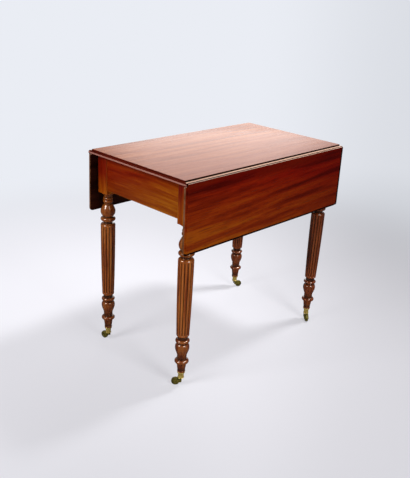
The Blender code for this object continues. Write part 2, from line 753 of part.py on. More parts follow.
def main():
    for item in list(bpy.data.objects):
        bpy.data.objects.remove(item)
    wood = {
        "top": material("top_wood", (0.40, 0.13, 0.06), 0.25),
        "leaf": material("leaf_wood", (0.22, 0.045, 0.015), 0.30),
        "leg": material("leg_wood", (0.20, 0.060, 0.018), 0.30),
        "rail": material("rail_wood", (0.24, 0.080, 0.016), 0.40),
    }
    iron = material("iron", (0.10, 0.09, 0.08), 0.55, 1.0)
    brass = material("brass", (0.62, 0.46, 0.16), 0.30, 1.0)
    leaves = add_top_and_leaves(wood)
    add_hinges(leaves, iron)
    add_legs(wood)
    add_rails(wood)
    add_flies(wood, iron)
    add_fixing_blocks(wood, iron)
    add_castors(brass)


if __name__ == "__main__":
    main()
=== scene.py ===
import json
import logging
import math
from dataclasses import dataclass
from enum import Enum, IntEnum
from typing import NamedTuple

import bmesh
import bpy
from bmesh.types import BMesh, BMLayerItem, BMVert
from bpy.types import Material, Node, NodeSocket, NodeTree, World
from mathutils import Matrix, Vector

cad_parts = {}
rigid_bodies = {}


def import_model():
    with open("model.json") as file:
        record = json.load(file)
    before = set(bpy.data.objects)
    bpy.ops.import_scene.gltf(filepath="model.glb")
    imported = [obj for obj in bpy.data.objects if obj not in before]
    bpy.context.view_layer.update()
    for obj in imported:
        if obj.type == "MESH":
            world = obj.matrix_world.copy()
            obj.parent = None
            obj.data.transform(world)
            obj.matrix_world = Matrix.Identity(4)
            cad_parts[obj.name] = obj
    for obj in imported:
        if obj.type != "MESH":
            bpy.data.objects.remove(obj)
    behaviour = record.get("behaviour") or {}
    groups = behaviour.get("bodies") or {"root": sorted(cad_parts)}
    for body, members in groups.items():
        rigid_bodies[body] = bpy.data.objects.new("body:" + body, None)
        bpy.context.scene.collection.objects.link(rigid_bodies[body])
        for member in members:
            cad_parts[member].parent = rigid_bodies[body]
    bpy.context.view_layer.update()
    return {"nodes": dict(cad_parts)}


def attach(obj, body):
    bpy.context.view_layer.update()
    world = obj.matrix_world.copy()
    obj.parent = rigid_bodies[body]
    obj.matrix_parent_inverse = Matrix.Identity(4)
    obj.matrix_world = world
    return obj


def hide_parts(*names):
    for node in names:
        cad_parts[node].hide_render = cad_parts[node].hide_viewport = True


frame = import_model()

log = logging.getLogger("serving_table")
MM = 0.001
TINY = 0.0001
SAME_PLACE = 0.000001
FLAT_TO = math.radians(1)
SMOOTH_TO = math.radians(32)
SMOOTH = {"interpolation_type": "SMOOTHSTEP"}
Point2 = tuple[float, float]
Point3 = tuple[float, float, float]
Turning = tuple[float, float, float]


# Colours and shader nodes


def linear(code: str) -> tuple[float, float, float, float]:
    """Turns an sRGB hex colour into linear light.

    Args:
        code: six hex digits after a hash sign.

    Returns:
        Red, green, blue and an alpha of one.
    """
    shares = []
    for start in (1, 3, 5):
        value = int(code[start : start + 2], 16) / 255
        shares.append(value / 12.92 if value <= 0.04045 else ((value + 0.055) / 1.055) ** 2.4)
    return (shares[0], shares[1], shares[2], 1.0)


def empty_tree(owner: Material | World) -> NodeTree:
    """Empties the nodes of a new material or world.

    Args:
        owner: the material or the world.

    Returns:
        Its nodes, of which there are none yet.
    """
    owner.use_nodes = True
    owner.node_tree.nodes.clear()
    return owner.node_tree


def add_node(tree: NodeTree, kind: str, settings: dict, links: dict) -> Node:
    """Adds one shader node.

    Args:
        tree: the material's or the world's nodes.
        kind: Blender's name for the kind of node, after the word ShaderNode.
        settings: properties by name, and values of unlinked inputs by name or number.
        links: the sockets to link in, by the input's name or number.

    Returns:
        The new node.
    """
    node = tree.nodes.new("ShaderNode" + kind)
    for key, value in settings.items():
        if isinstance(key, str) and hasattr(node, key):
            setattr(node, key, value)
        else:
            node.inputs[key].default_value = value
    for key, source in links.items():
        tree.links.new(source, node.inputs[key])
    return node


class Grain(Enum):
    """The way a board's grain runs, as the turn that lays it along the pattern's X."""

    ALONG_X = (0.0, 0.0, 0.0)
    ALONG_Y = (0.0, 0.0, -math.pi / 2)
    ALONG_Z = (0.0, math.pi / 2, 0.0)


class Course(NamedTuple):
    """A way across the room, and how far along it a change of colour starts and ends, in metres."""

    way: Point3
    start: float
    stop: float


class Shade(NamedTuple):
    """A tone painted over the wood along a course, up to a share: painted shade, and painted sheen."""

    course: Course
    share: float
    tone: str


@dataclass(frozen=True)
class Mahogany:
    """Cuban mahogany under old shellac polish: reddish bands, dark streaks, fine pores and a soft gloss.

    The shellac is amber, so what it mirrors is tinted warm. Lengths are in millimetres on the board.
    """

    name: str
    dark: str
    middle: str
    pale: str
    grain: Grain
    # tones of painted light and shade across the board
    lit_tones: tuple[str, ...] = ()
    lit_course: Course = Course((0.0, 0.0, -1.0), 0.0, 1.0)
    shades: tuple[Shade, ...] = ()
    slant: float = 0.0
    band_wide: float = 22.0
    band_long: float = 520.0
    streak_wide: float = 3.2
    streak_long: float = 190.0
    streak_share: float = 0.45
    bend: float = 26.0
    bend_size: float = 330.0
    pore_wide: float = 1.1
    pore_long: float = 14.0
    pore_share: float = 0.25
    pore_tone: str = "#1C0602"
    # painted shade with grime, in the hollows of turned work
    hollow: float = 0.0
    hollow_tone: str = "#1C0803"
    roughness: float = 0.30
    specular: float = 0.12
    tint: str = "#FFD8B8"
    coat: float = 0.0

    def stretched(self, tree: NodeTree, lay: NodeSocket, size: Point2, detail: float) -> NodeSocket:
        """Noise drawn out along the grain.

        Args:
            tree: the material's nodes.
            lay: coordinates that have the grain along X.
            size: length and width of one patch, in millimetres.
            detail: octaves of finer noise.

        Returns:
            The noise's value.
        """
        along = 1 / (size[0] * MM)
        across = 1 / (size[1] * MM)
        scaled = add_node(tree, "Mapping", {"Scale": (along, across, across)}, {"Vector": lay})
        settings = {"Scale": 1.0, "Detail": detail, "Roughness": 0.55}
        return add_node(tree, "TexNoise", settings, {"Vector": scaled.outputs[0]}).outputs["Fac"]

    def laid(self, tree: NodeTree, place: NodeSocket) -> NodeSocket:
        """Turns places on the board so that the grain runs along X, and lets it wander as the tree did.

        Args:
            tree: the material's nodes.
            place: places on the board.

        Returns:
            The coordinates for the patterns.
        """
        along = add_node(tree, "Mapping", {"Rotation": self.grain.value}, {"Vector": place}).outputs[0]
        tilt = (0.0, math.radians(self.slant), math.radians(self.slant))
        tilted = add_node(tree, "Mapping", {"Rotation": tilt}, {"Vector": along}).outputs[0]
        settings = {"Scale": 1 / (self.bend_size * MM), "Detail": 1.0}
        wander = add_node(tree, "TexNoise", settings, {"Vector": tilted}).outputs["Color"]
        settings = {"operation": "MULTIPLY_ADD", 1: (0.0, self.bend * MM, self.bend * MM)}
        return add_node(tree, "VectorMath", settings, {0: wander, 2: tilted}).outputs[0]

    def rising(self, tree: NodeTree, place: NodeSocket, course: Course, end: float) -> NodeSocket:
        """A share that rises across the board.

        Args:
            tree: the material's nodes.
            place: places on the board.
            course: where it rises.
            end: the share at the end.

        Returns:
            The share.
        """
        settings = {"operation": "DOT_PRODUCT", 1: course.way}
        along = add_node(tree, "VectorMath", settings, {0: place}).outputs["Value"]
        settings = {"From Min": course.start, "From Max": course.stop, "To Max": end}
        return add_node(tree, "MapRange", settings, {"Value": along}).outputs[0]

    def banded(self, tree: NodeTree, place: NodeSocket, lay: NodeSocket) -> NodeSocket:
        """The board's broad bands, painted paler along a course as painted light.

        Args:
            tree: the material's nodes.
            place: places on the board.
            lay: coordinates that have the grain along X.

        Returns:
            The colour.
        """
        bands = self.stretched(tree, lay, (self.band_long, self.band_wide), 3.0)
        sides = []
        for tones in filter(None, [(self.dark, self.middle, self.pale), self.lit_tones]):
            ramp = add_node(tree, "ValToRGB", {}, {"Fac": bands})
            stops = ramp.color_ramp.elements
            stops.new(0.5)
            for stop, at, tone in zip(stops, (0.36, 0.50, 0.64), tones):
                stop.position = at
                stop.color = linear(tone)
            sides.append(ramp.outputs[0])
        if not self.lit_tones:
            return sides[0]
        links = {0: self.rising(tree, place, self.lit_course, 1.0), 6: sides[0], 7: sides[1]}
        return add_node(tree, "Mix", {"data_type": "RGBA"}, links).outputs[2]

    def make(self) -> Material:
        """Builds the material.

        Returns:
            The material, under its own name.
        """
        material = bpy.data.materials.new(self.name)
        tree = empty_tree(material)
        place = add_node(tree, "TexCoord", {}, {}).outputs["Object"]
        lay = self.laid(tree, place)
        colour = self.banded(tree, place, lay)
        layers = [(self.rising(tree, place, shade.course, shade.share), shade.tone) for shade in self.shades]
        streaks = self.stretched(tree, lay, (self.streak_long, self.streak_wide), 2.0)
        settings = {"From Min": 0.48, "From Max": 0.70, "To Max": self.streak_share}
        layers.append((add_node(tree, "MapRange", settings, {"Value": streaks}).outputs[0], self.dark))
        # real pores are a fifth of a millimetre wide: these are drawn coarser, so that they show
        pores = self.stretched(tree, lay, (self.pore_long, self.pore_wide), 1.0)
        settings = {"From Min": 0.58, "From Max": 0.68, "To Max": self.pore_share}
        pore = add_node(tree, "MapRange", settings, {"Value": pores}).outputs[0]
        layers.append((pore, self.pore_tone))
        if self.hollow:
            # painted shade in the hollows of turned work, along with the old polish and grime that stay there
            sunk = add_node(tree, "Attribute", {"attribute_name": "hollow"}, {}).outputs["Fac"]
            settings = {"operation": "MULTIPLY", 1: self.hollow}
            layers.append((add_node(tree, "Math", settings, {0: sunk}).outputs[0], self.hollow_tone))
        for share, tone in layers:
            settings = {"data_type": "RGBA", 7: linear(tone)}
            colour = add_node(tree, "Mix", settings, {0: share, 6: colour}).outputs[2]
        settings = {"From Min": 0.3, "From Max": 0.7}
        settings |= {"To Min": self.roughness - 0.05, "To Max": self.roughness + 0.07}
        rough = add_node(tree, "MapRange", settings, {"Value": streaks}).outputs[0]
        settings = {"Strength": 0.12, "Distance": 0.15 * MM, "invert": True}
        relief = add_node(tree, "Bump", settings, {"Height": pore}).outputs[0]
        settings = {"IOR": 1.5, "Specular IOR Level": self.specular, "Specular Tint": linear(self.tint)}
        settings |= {"Coat Weight": self.coat, "Coat Roughness": 0.08, "Coat IOR": 1.6}
        links = {"Base Color": colour, "Roughness": rough, "Normal": relief}
        shader = add_node(tree, "BsdfPrincipled", settings, links)
        add_node(tree, "OutputMaterial", {}, {"Surface": shader.outputs[0]})
        return material


@dataclass(frozen=True)
class AgedMetal:
    """Cast or forged metal, bright where hands and floors rub it and dull in between.

    Sizes of its patches and its grit are in millimetres.
    """

    name: str
    bright: str
    dull: str
    patch: float
    roughness: Point2
    metallic: float = 1.0
    dull_from: float = 0.42
    dull_to: float = 0.64
    grit: float = 0.8

    def make(self) -> Material:
        """Builds the material.

        Returns:
            The material, under its own name.
        """
        material = bpy.data.materials.new(self.name)
        tree = empty_tree(material)
        place = add_node(tree, "TexCoord", {}, {}).outputs["Object"]
        settings = {"Scale": 1 / (self.patch * MM), "Detail": 4.0, "Roughness": 0.6}
        patches = add_node(tree, "TexNoise", settings, {"Vector": place}).outputs["Fac"]
        settings = {"From Min": self.dull_from, "From Max": self.dull_to}
        dulled = add_node(tree, "MapRange", settings, {"Value": patches}).outputs[0]
        settings = {"data_type": "RGBA", 6: linear(self.bright), 7: linear(self.dull)}
        colour = add_node(tree, "Mix", settings, {0: dulled}).outputs[2]
        settings = {"To Min": self.roughness[0], "To Max": self.roughness[1]}
        rough = add_node(tree, "MapRange", settings, {"Value": dulled}).outputs[0]
        # real grit is a few tenths of a millimetre across: it is drawn coarser, so that it shows
        settings = {"Scale": 1 / (self.grit * MM), "Detail": 2.0}
        grit = add_node(tree, "TexNoise", settings, {"Vector": place}).outputs["Fac"]
        relief = add_node(tree, "Bump", {"Strength": 0.15, "Distance": 0.1 * MM}, {"Height": grit}).outputs[0]
        links = {"Base Color": colour, "Roughness": rough, "Normal": relief}
        shader = add_node(tree, "BsdfPrincipled", {"Metallic": self.metallic}, links)
        add_node(tree, "OutputMaterial", {}, {"Surface": shader.outputs[0]})
        return material


# Shaping


def arc(centre: Point2, radius: float, start: float, end: float, steps: int) -> list[Point2]:
    """Points on an arc.

    Args:
        centre: the arc's centre.
        radius: its radius.
        start: first angle in degrees.
        end: last angle in degrees.
        steps: how many chords the arc has.

    Returns:
        The points, both ends included.
    """
    points = []
    for step in range(steps + 1):
        angle = math.radians(start + (end - start) * step / steps)
        points.append((centre[0] + radius * math.cos(angle), centre[1] + radius * math.sin(angle)))
    return points


def block(low: Point3, high: Point3) -> BMesh:
    """A box between two corners.

    Args:
        low: the lowest corner.
        high: the highest corner.

    Returns:
        The new shape.
    """
    shape = bmesh.new()
    size = Vector(high) - Vector(low)
    middle = (Vector(high) + Vector(low)) / 2
    place = Matrix.Translation(middle) @ Matrix.Diagonal((*size, 1.0))
    bmesh.ops.create_cube(shape, size=1.0, matrix=place)
    return shape


def ease(shape: BMesh, edges: list, width: float, segments: int = 2) -> list:
    """Rounds edges over.

    Args:
        shape: the shape to change.
        edges: the edges to round.
        width: how far the rounding runs in from each edge.
        segments: how many faces it has.

    Returns:
        The faces of the roundings.
    """
    settings = {"offset": width, "segments": segments, "profile": 0.5, "affect": "EDGES", "material": -1}
    return bmesh.ops.bevel(shape, geom=edges, clamp_overlap=True, **settings)["faces"]


def set_finish(faces: list, finish: int) -> None:
    """Gives faces the number of their finish."""
    for face in faces:
        face.material_index = finish


def sharp_edges(shape: BMesh, degrees: float = 40.0) -> list:
    """The edges where two faces meet at more than an angle."""
    limit = math.radians(degrees)
    return [edge for edge in shape.edges if edge.is_manifold and edge.calc_face_angle() > limit]


def upper_face(shape: BMesh) -> bmesh.types.BMFace:
    """The highest face, and of equals the largest."""
    return max(shape.faces, key=lambda face: face.calc_center_median().z / MM + face.calc_area())


def chain(shape: BMesh, points: list[Point3], closed: bool) -> list:
    """Adds points joined by edges.

    Args:
        shape: the shape to add to.
        points: the places, in order.
        closed: whether the last point joins the first.

    Returns:
        The new vertices and edges.
    """
    verts = [shape.verts.new(point) for point in points]
    edges = [shape.edges.new(pair) for pair in zip(verts, verts[1:])]
    if closed:
        edges.append(shape.edges.new((verts[-1], verts[0])))
    return verts + edges


def spin(shape: BMesh, geom: list, steps: int, axis: Point3 = (0, 0, 1)) -> None:
    """Spins points and edges full round an axis through the origin.

    Args:
        shape: the shape that they belong to.
        geom: the points and edges of a profile.
        steps: how many faces go round.
        axis: the direction of the axis.
    """
    turn = {"cent": (0, 0, 0), "axis": axis, "angle": 2 * math.pi, "steps": steps, "use_merge": True}
    bmesh.ops.spin(shape, geom=geom, **turn)


def plate(outline: list[Point3], travel: Point3) -> BMesh:
    """Extrudes a flat outline.

    Args:
        outline: its corners in space, in order.
        travel: how far and which way it is drawn out.

    Returns:
        The closed solid.
    """
    shape = bmesh.new()
    face = shape.faces.new([shape.verts.new(point) for point in outline])
    drawn = bmesh.ops.extrude_face_region(shape, geom=[face], use_keep_orig=True)
    verts = [item for item in drawn["geom"] if isinstance(item, BMVert)]
    bmesh.ops.translate(shape, verts=verts, vec=travel)
    bmesh.ops.recalc_face_normals(shape, faces=shape.faces)
    return shape


class Joinery(Enum):
    """What is done with a second shape: it is cut out of the first, or joined to it."""

    CUT = "DIFFERENCE"
    JOIN = "UNION"


def combined(base: BMesh, tools: list[BMesh], work: Joinery) -> BMesh:
    """Cuts shapes out of another, or joins them to it.

    Args:
        base: the shape to start from, which is used up.
        tools: the shapes to cut or join, which are used up.
        work: whether they are cut or joined.

    Returns:
        The new shape.
    """
    home = bpy.context.scene.collection.objects
    holders = []
    for shape in [base, *tools]:
        mesh = bpy.data.meshes.new("blank")
        shape.to_mesh(mesh)
        shape.free()
        holder = bpy.data.objects.new("blank", mesh)
        home.link(holder)
        holders.append(holder)
    for holder in holders[1:]:
        modifier = holders[0].modifiers.new("combine", "BOOLEAN")
        modifier.operation = work.value
        modifier.object = holder
    bpy.context.view_layer.update()
    solid = holders[0].evaluated_get(bpy.context.evaluated_depsgraph_get())
    result = bmesh.new()
    result.from_mesh(solid.to_mesh())
    solid.to_mesh_clear()
    for holder in holders:
        bpy.data.meshes.remove(holder.data)
    bmesh.ops.remove_doubles(result, verts=result.verts, dist=SAME_PLACE)
    return result


def eased_copy(node: str, width: float) -> BMesh:
    """A solid's shape with its sharp edges eased round.

    Args:
        node: the solid's name.
        width: how far the rounding runs in from each edge.

    Returns:
        The new shape.
    """
    shape = bmesh.new()
    shape.from_mesh(frame["nodes"][node].data)
    bmesh.ops.remove_doubles(shape, verts=shape.verts, dist=SAME_PLACE)
    bmesh.ops.dissolve_limit(shape, angle_limit=FLAT_TO, verts=shape.verts, edges=shape.edges)
    ease(shape, sharp_edges(shape), width)
    return shape


def add_piece(name: str, shape: BMesh, body: str, finishes: list[Material], nodes: tuple) -> None:
    """Makes a finished shape a piece of the table.

    Args:
        name: the piece's name.
        shape: its shape in place, which is used up.
        body: the body that it rides on.
        finishes: its materials, in the order of its faces' numbers.
        nodes: the solids that it stands for.
    """
    mesh = bpy.data.meshes.new(name)
    shape.to_mesh(mesh)
    shape.free()
    for finish in finishes:
        mesh.materials.append(finish)
    mesh.shade_smooth()
    mesh.set_sharp_from_angle(angle=SMOOTH_TO)
    piece = bpy.data.objects.new(name, mesh)
    bpy.context.scene.collection.objects.link(piece)
    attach(piece, body)
    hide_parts(*nodes)
    log.info("%s on %s: %d faces", name, body, len(mesh.polygons))


def dress_solid(node: str, finish: Material) -> None:
    """Gives a solid that stays as it is its finish.

    Args:
        node: the solid's name.
        finish: its material.
    """
    slots = frame["nodes"][node].data.materials
    slots.clear()
    slots.append(finish)
    log.info("%s keeps its solid, in %s", node, finish.name)


def side_turn(side: str) -> Matrix:
    """The half turn that takes a rear piece to the front."""
    return Matrix.Rotation(math.pi if side == "front" else 0.0, 4, "Z")


def side_sign(side: str) -> int:
    """Which way along Y a side lies."""
    return -1 if side == "front" else 1


SIDES = ("front", "rear")
ENDS = ("left", "right")
CORNERS = {f"{side}_{end}": (-1 if end == "left" else 1, side_sign(side)) for side in SIDES for end in ENDS}


# The boards


@dataclass
class RuleJoint:
    """Sizes that the top and the leaves share where they meet."""

    fillet: float = 0.0045
    ovolo: float = 0.0073
    ledge: float = 0.005
    to_underside: float = 0.0024
    end_ovolo: float = 0.006
    gap: float = 0.0003
    axis_y: float = 0.225
    axis_z: float = 0.7082
    hinges: tuple = (-0.235, 0.235)
    hinge_wide: float = 0.036
    trough: float = 0.0027
    top_plate: float = 0.030
    leaf_plate: float = 0.055
    past: float = 0.001


class TopFace(IntEnum):
    """The numbers of the top's finishes: the ledge and the foot of the ends carry painted highlights."""

    BOARD = 0
    MOULDING = 1
    LEDGE = 2
    END = 3
    FOOT = 4


@dataclass
class TableTop:
    """The fixed top: a flat board with a fillet and an ovolo worked round it.

    A face counts as ledge or as flat by how squarely it looks up.
    """

    joint: RuleJoint
    length: float = 0.787
    width: float = 0.440
    height: float = 0.720
    arris: float = 0.0007
    # the strip of ledge beside the fillet is darkened with painted shade and grime
    shade_and_grime: float = 0.002
    # a band at the foot of each end carries a painted highlight
    highlight_from: float = 0.0089
    highlight_to: float = 0.0131
    ovolo_from: float = 19.0
    steps: int = 12
    ledge_up: float = 0.82
    flat_up: float = 0.85

    def rings(self) -> list[tuple[float, float, float]]:
        """Steps of the moulding.

        Returns:
            Depth below the top, reach at the ends and reach at the sides of each step, downwards.
        """
        joint = self.joint
        steps = []
        for angle in (0, 30, 60, 90):
            share = math.radians(angle)
            reach = -self.arris * (1 - math.sin(share))
            steps.append((self.arris * (1 - math.cos(share)), reach, reach))
        steps.append((joint.fillet, 0.0, 0.0))
        last = math.degrees(math.acos(-joint.to_underside / joint.ovolo))
        turned = []
        for index in range(self.steps + 1):
            angle = math.radians(self.ovolo_from + (last - self.ovolo_from) * index / self.steps)
            turned.append((joint.ovolo * (1 - math.cos(angle)), joint.ledge + joint.ovolo * math.sin(angle)))
        first_fall, first_reach = turned[0]
        on_ledge = (first_fall * self.shade_and_grime / first_reach, self.shade_and_grime)
        for fall, across in [on_ledge, *turned]:
            below = min(fall, joint.end_ovolo)
            along = math.sqrt(joint.end_ovolo**2 - (joint.end_ovolo - below) ** 2)
            steps.append((joint.fillet + fall, along, across))
        return steps

    def pocket(self, x: float, side: str) -> BMesh:
        """A cutter for one hinge let into the underside.

        Args:
            x: the hinge's place along the joint.
            side: front or rear.

        Returns:
            The cutter in place.
        """
        joint = self.joint
        gap = joint.gap
        trough = joint.trough
        half = joint.hinge_wide / 2 + gap
        below = -joint.to_underside - joint.past
        outer = joint.ovolo + joint.past
        inner = -joint.top_plate - gap
        outline = [(inner, below), (outer, below), (outer, -gap), (trough, -gap), (trough, trough)]
        outline += [(-trough, trough), (-trough, -gap), (inner, -gap)]
        shape = plate([(-half, y, z) for y, z in outline], (2 * half, 0, 0))
        place = Matrix.Translation((x, side_sign(side) * joint.axis_y, joint.axis_z))
        bmesh.ops.transform(shape, matrix=place @ side_turn(side), verts=shape.verts)
        return shape

    def build(self) -> BMesh:
        """Makes the board with its moulding and pockets.

        Returns:
            The shape in place.
        """
        shape = bmesh.new()
        bmesh.ops.create_grid(shape, x_segments=1, y_segments=1, size=1.0)
        loop = list(shape.edges)
        level = list(shape.verts)
        for number, (depth, along, across) in enumerate(self.rings()):
            if number:
                drawn = bmesh.ops.extrude_edge_only(shape, edges=loop)["geom"]
                level = [item for item in drawn if isinstance(item, BMVert)]
                loop = [edge for edge in shape.edges if edge.is_boundary and set(edge.verts) <= set(level)]
            for vert in level:
                x = math.copysign(self.length / 2 + along, vert.co.x)
                y = math.copysign(self.width / 2 + across, vert.co.y)
                vert.co = (x, y, self.height - depth)
        bmesh.ops.edgeloop_fill(shape, edges=loop)
        bmesh.ops.recalc_face_normals(shape, faces=shape.faces)
        pockets = [self.pocket(x, side) for x in self.joint.hinges for side in SIDES]
        return combined(shape, pockets, Joinery.CUT)

    def dress(self, shape: BMesh) -> None:
        """Gives each face the number of its finish.

        Args:
            shape: the top in place.
        """
        for face in shape.faces:
            middle = face.calc_center_median()
            past_side = abs(middle.y) - self.width / 2
            # the ends get painted shade, with a painted highlight in a band at their foot
            if abs(middle.x) > self.length / 2 - self.arris:
                highlit = self.highlight_from < self.height - middle.z < self.highlight_to
                finish = TopFace.FOOT if highlit else TopFace.END
            # the ledge gets a painted highlight
            elif past_side > self.shade_and_grime and face.normal.z > self.ledge_up:
                finish = TopFace.LEDGE
            elif past_side < 0 and abs(face.normal.z) > self.flat_up or face.normal.z < -self.flat_up:
                finish = TopFace.BOARD
            # the fillet, the ovolo and the strip beside the fillet get painted shade
            else:
                finish = TopFace.MOULDING
            set_finish([face], finish)


class LeafFace(IntEnum):
    """The numbers of a leaf's finishes: its left lip and the edge along the joint carry painted light."""

    BOARD = 0
    MOULDING = 1
    LIP = 2
    UNDERSIDE = 3
    JOINT = 4


@dataclass
class Leaf:
    """A hanging leaf with round free corners, an ovolo on three edges and a cove along the joint.

    Painted shade darkens a narrow border of its board, along its free edge and its right end. A face counts
    as straight, as an end or as an edge by how squarely it looks that way.
    """

    joint: RuleJoint
    side: str
    reach: float
    half_length: float = 0.3995
    corner: float = 0.011
    corner_faces: int = 10
    ovolo_faces: int = 9
    cove_faces: int = 40
    out_of_plumb: float = 0.75
    arris: float = 0.0006
    border: float = 0.0045
    end_border: float = 0.009
    lip_share: float = 0.45
    straight: float = 0.9
    at_end: float = 0.7
    at_edge: float = 0.3

    def right_end(self) -> float:
        """How far from the leaf's middle the dark border of its right end starts."""
        return self.half_length - self.joint.end_ovolo - self.end_border

    def build(self) -> BMesh:
        """Makes the leaf as it lies raised, with its hinge axis at the origin.

        Returns:
            The shape, with its free edge at +Y.
        """
        joint = self.joint
        near = -joint.ledge + joint.gap
        low = (-self.half_length, near, -joint.to_underside)
        shape = block(low, (self.half_length, self.reach, joint.ovolo))
        upright = [edge for edge in shape.edges if abs((edge.verts[0].co - edge.verts[1].co).z) > joint.ovolo]
        ease(shape, [edge for edge in upright if edge.verts[0].co.y > 0], self.corner, self.corner_faces)
        edges = upper_face(shape).edges
        worked = [edge for edge in edges if max(vert.co.y for vert in edge.verts) > near + TINY]
        ease(shape, worked, joint.end_ovolo, self.ovolo_faces)
        upper = upper_face(shape)
        raised = bmesh.ops.extrude_face_region(shape, geom=[upper])["geom"]
        verts = [item for item in raised if isinstance(item, BMVert)]
        bmesh.ops.delete(shape, geom=[upper], context="FACES_ONLY")
        bmesh.ops.translate(shape, verts=verts, vec=(0, 0, joint.fillet))
        bmesh.ops.recalc_face_normals(shape, faces=shape.faces)
        high = joint.ovolo + joint.fillet - TINY
        sharp = sharp_edges(shape)
        ease(shape, [edge for edge in sharp if min(vert.co.z for vert in edge.verts) > high], self.arris)
        low = -joint.to_underside + TINY
        sharp = sharp_edges(shape)
        ease(shape, [edge for edge in sharp if max(vert.co.z for vert in edge.verts) < low], self.arris)
        bmesh.ops.inset_region(shape, faces=[upper_face(shape)], thickness=self.border, use_even_offset=True)
        cut = (side_sign(self.side) * self.right_end(), 0, 0)
        geom = [*shape.verts, *shape.edges, *shape.faces]
        bmesh.ops.bisect_plane(shape, geom=geom, plane_co=cut, plane_no=(1, 0, 0))
        return combined(shape, self.cutters(), Joinery.CUT)

    def cutters(self) -> list[BMesh]:
        """The cove along the joint and the beds of the hinge plates.

        Returns:
            One cutter for each.
        """
        joint = self.joint
        cove = joint.ovolo + joint.gap
        back = -2 * joint.ledge
        outline = [(back, -cove), (back, cove)] + arc((0, 0), cove, 90, -90, self.cove_faces)
        start = -self.half_length - joint.past
        cutters = [plate([(start, y, z) for y, z in outline], (-2 * start, 0, 0))]
        half = joint.hinge_wide / 2 + joint.gap
        for x in joint.hinges:
            low = (x - half, cove / 2, -joint.to_underside - joint.past)
            cutters.append(block(low, (x + half, joint.leaf_plate + joint.gap, -joint.gap)))
        return cutters

    def dress(self, shape: BMesh) -> None:
        """Gives each face the number of its finish.

        Args:
            shape: the raised leaf.
        """
        joint = self.joint
        lip = joint.ovolo - joint.end_ovolo * self.lip_share
        free_edge = self.reach - joint.end_ovolo - self.border
        for face in shape.faces:
            middle = face.calc_center_median()
            to_left = -side_sign(self.side) * face.normal.x
            on_edge = max(abs(face.normal.x), face.normal.y) > self.at_edge and to_left < self.at_edge
            in_cove = middle.y < joint.ovolo and face.normal.y < 0
            past_right = side_sign(self.side) * middle.x > self.right_end()
            # the inner face gets painted shade
            if face.normal.z < -self.straight:
                finish = LeafFace.UNDERSIDE
            # the top edge along the joint gets a painted highlight
            elif face.normal.y < -self.straight:
                finish = LeafFace.JOINT
            # the lip that faces the left lamp gets painted light
            elif to_left > self.at_end and middle.z < lip:
                finish = LeafFace.LIP
            # the cove, the edges, the border and the right end get painted shade
            elif in_cove or on_edge or past_right or middle.y > free_edge:
                finish = LeafFace.MOULDING
            else:
                finish = LeafFace.BOARD
            set_finish([face], finish)

    def hang(self, shape: BMesh) -> None:
        """Turns the raised shape down about the hinge axis, on its own side of the table.

        Args:
            shape: the raised leaf.
        """
        drop = Matrix.Rotation(math.radians(self.out_of_plumb) - math.pi / 2, 4, "X")
        place = Matrix.Translation((0, side_sign(self.side) * self.joint.axis_y, self.joint.axis_z))
        bmesh.ops.transform(shape, matrix=place @ side_turn(self.side) @ drop, verts=shape.verts)


# Legs


class LegFace(IntEnum):
    """The numbers of a leg's finishes."""

    TURNED = 0
    EDGE = 1
    POST = 2


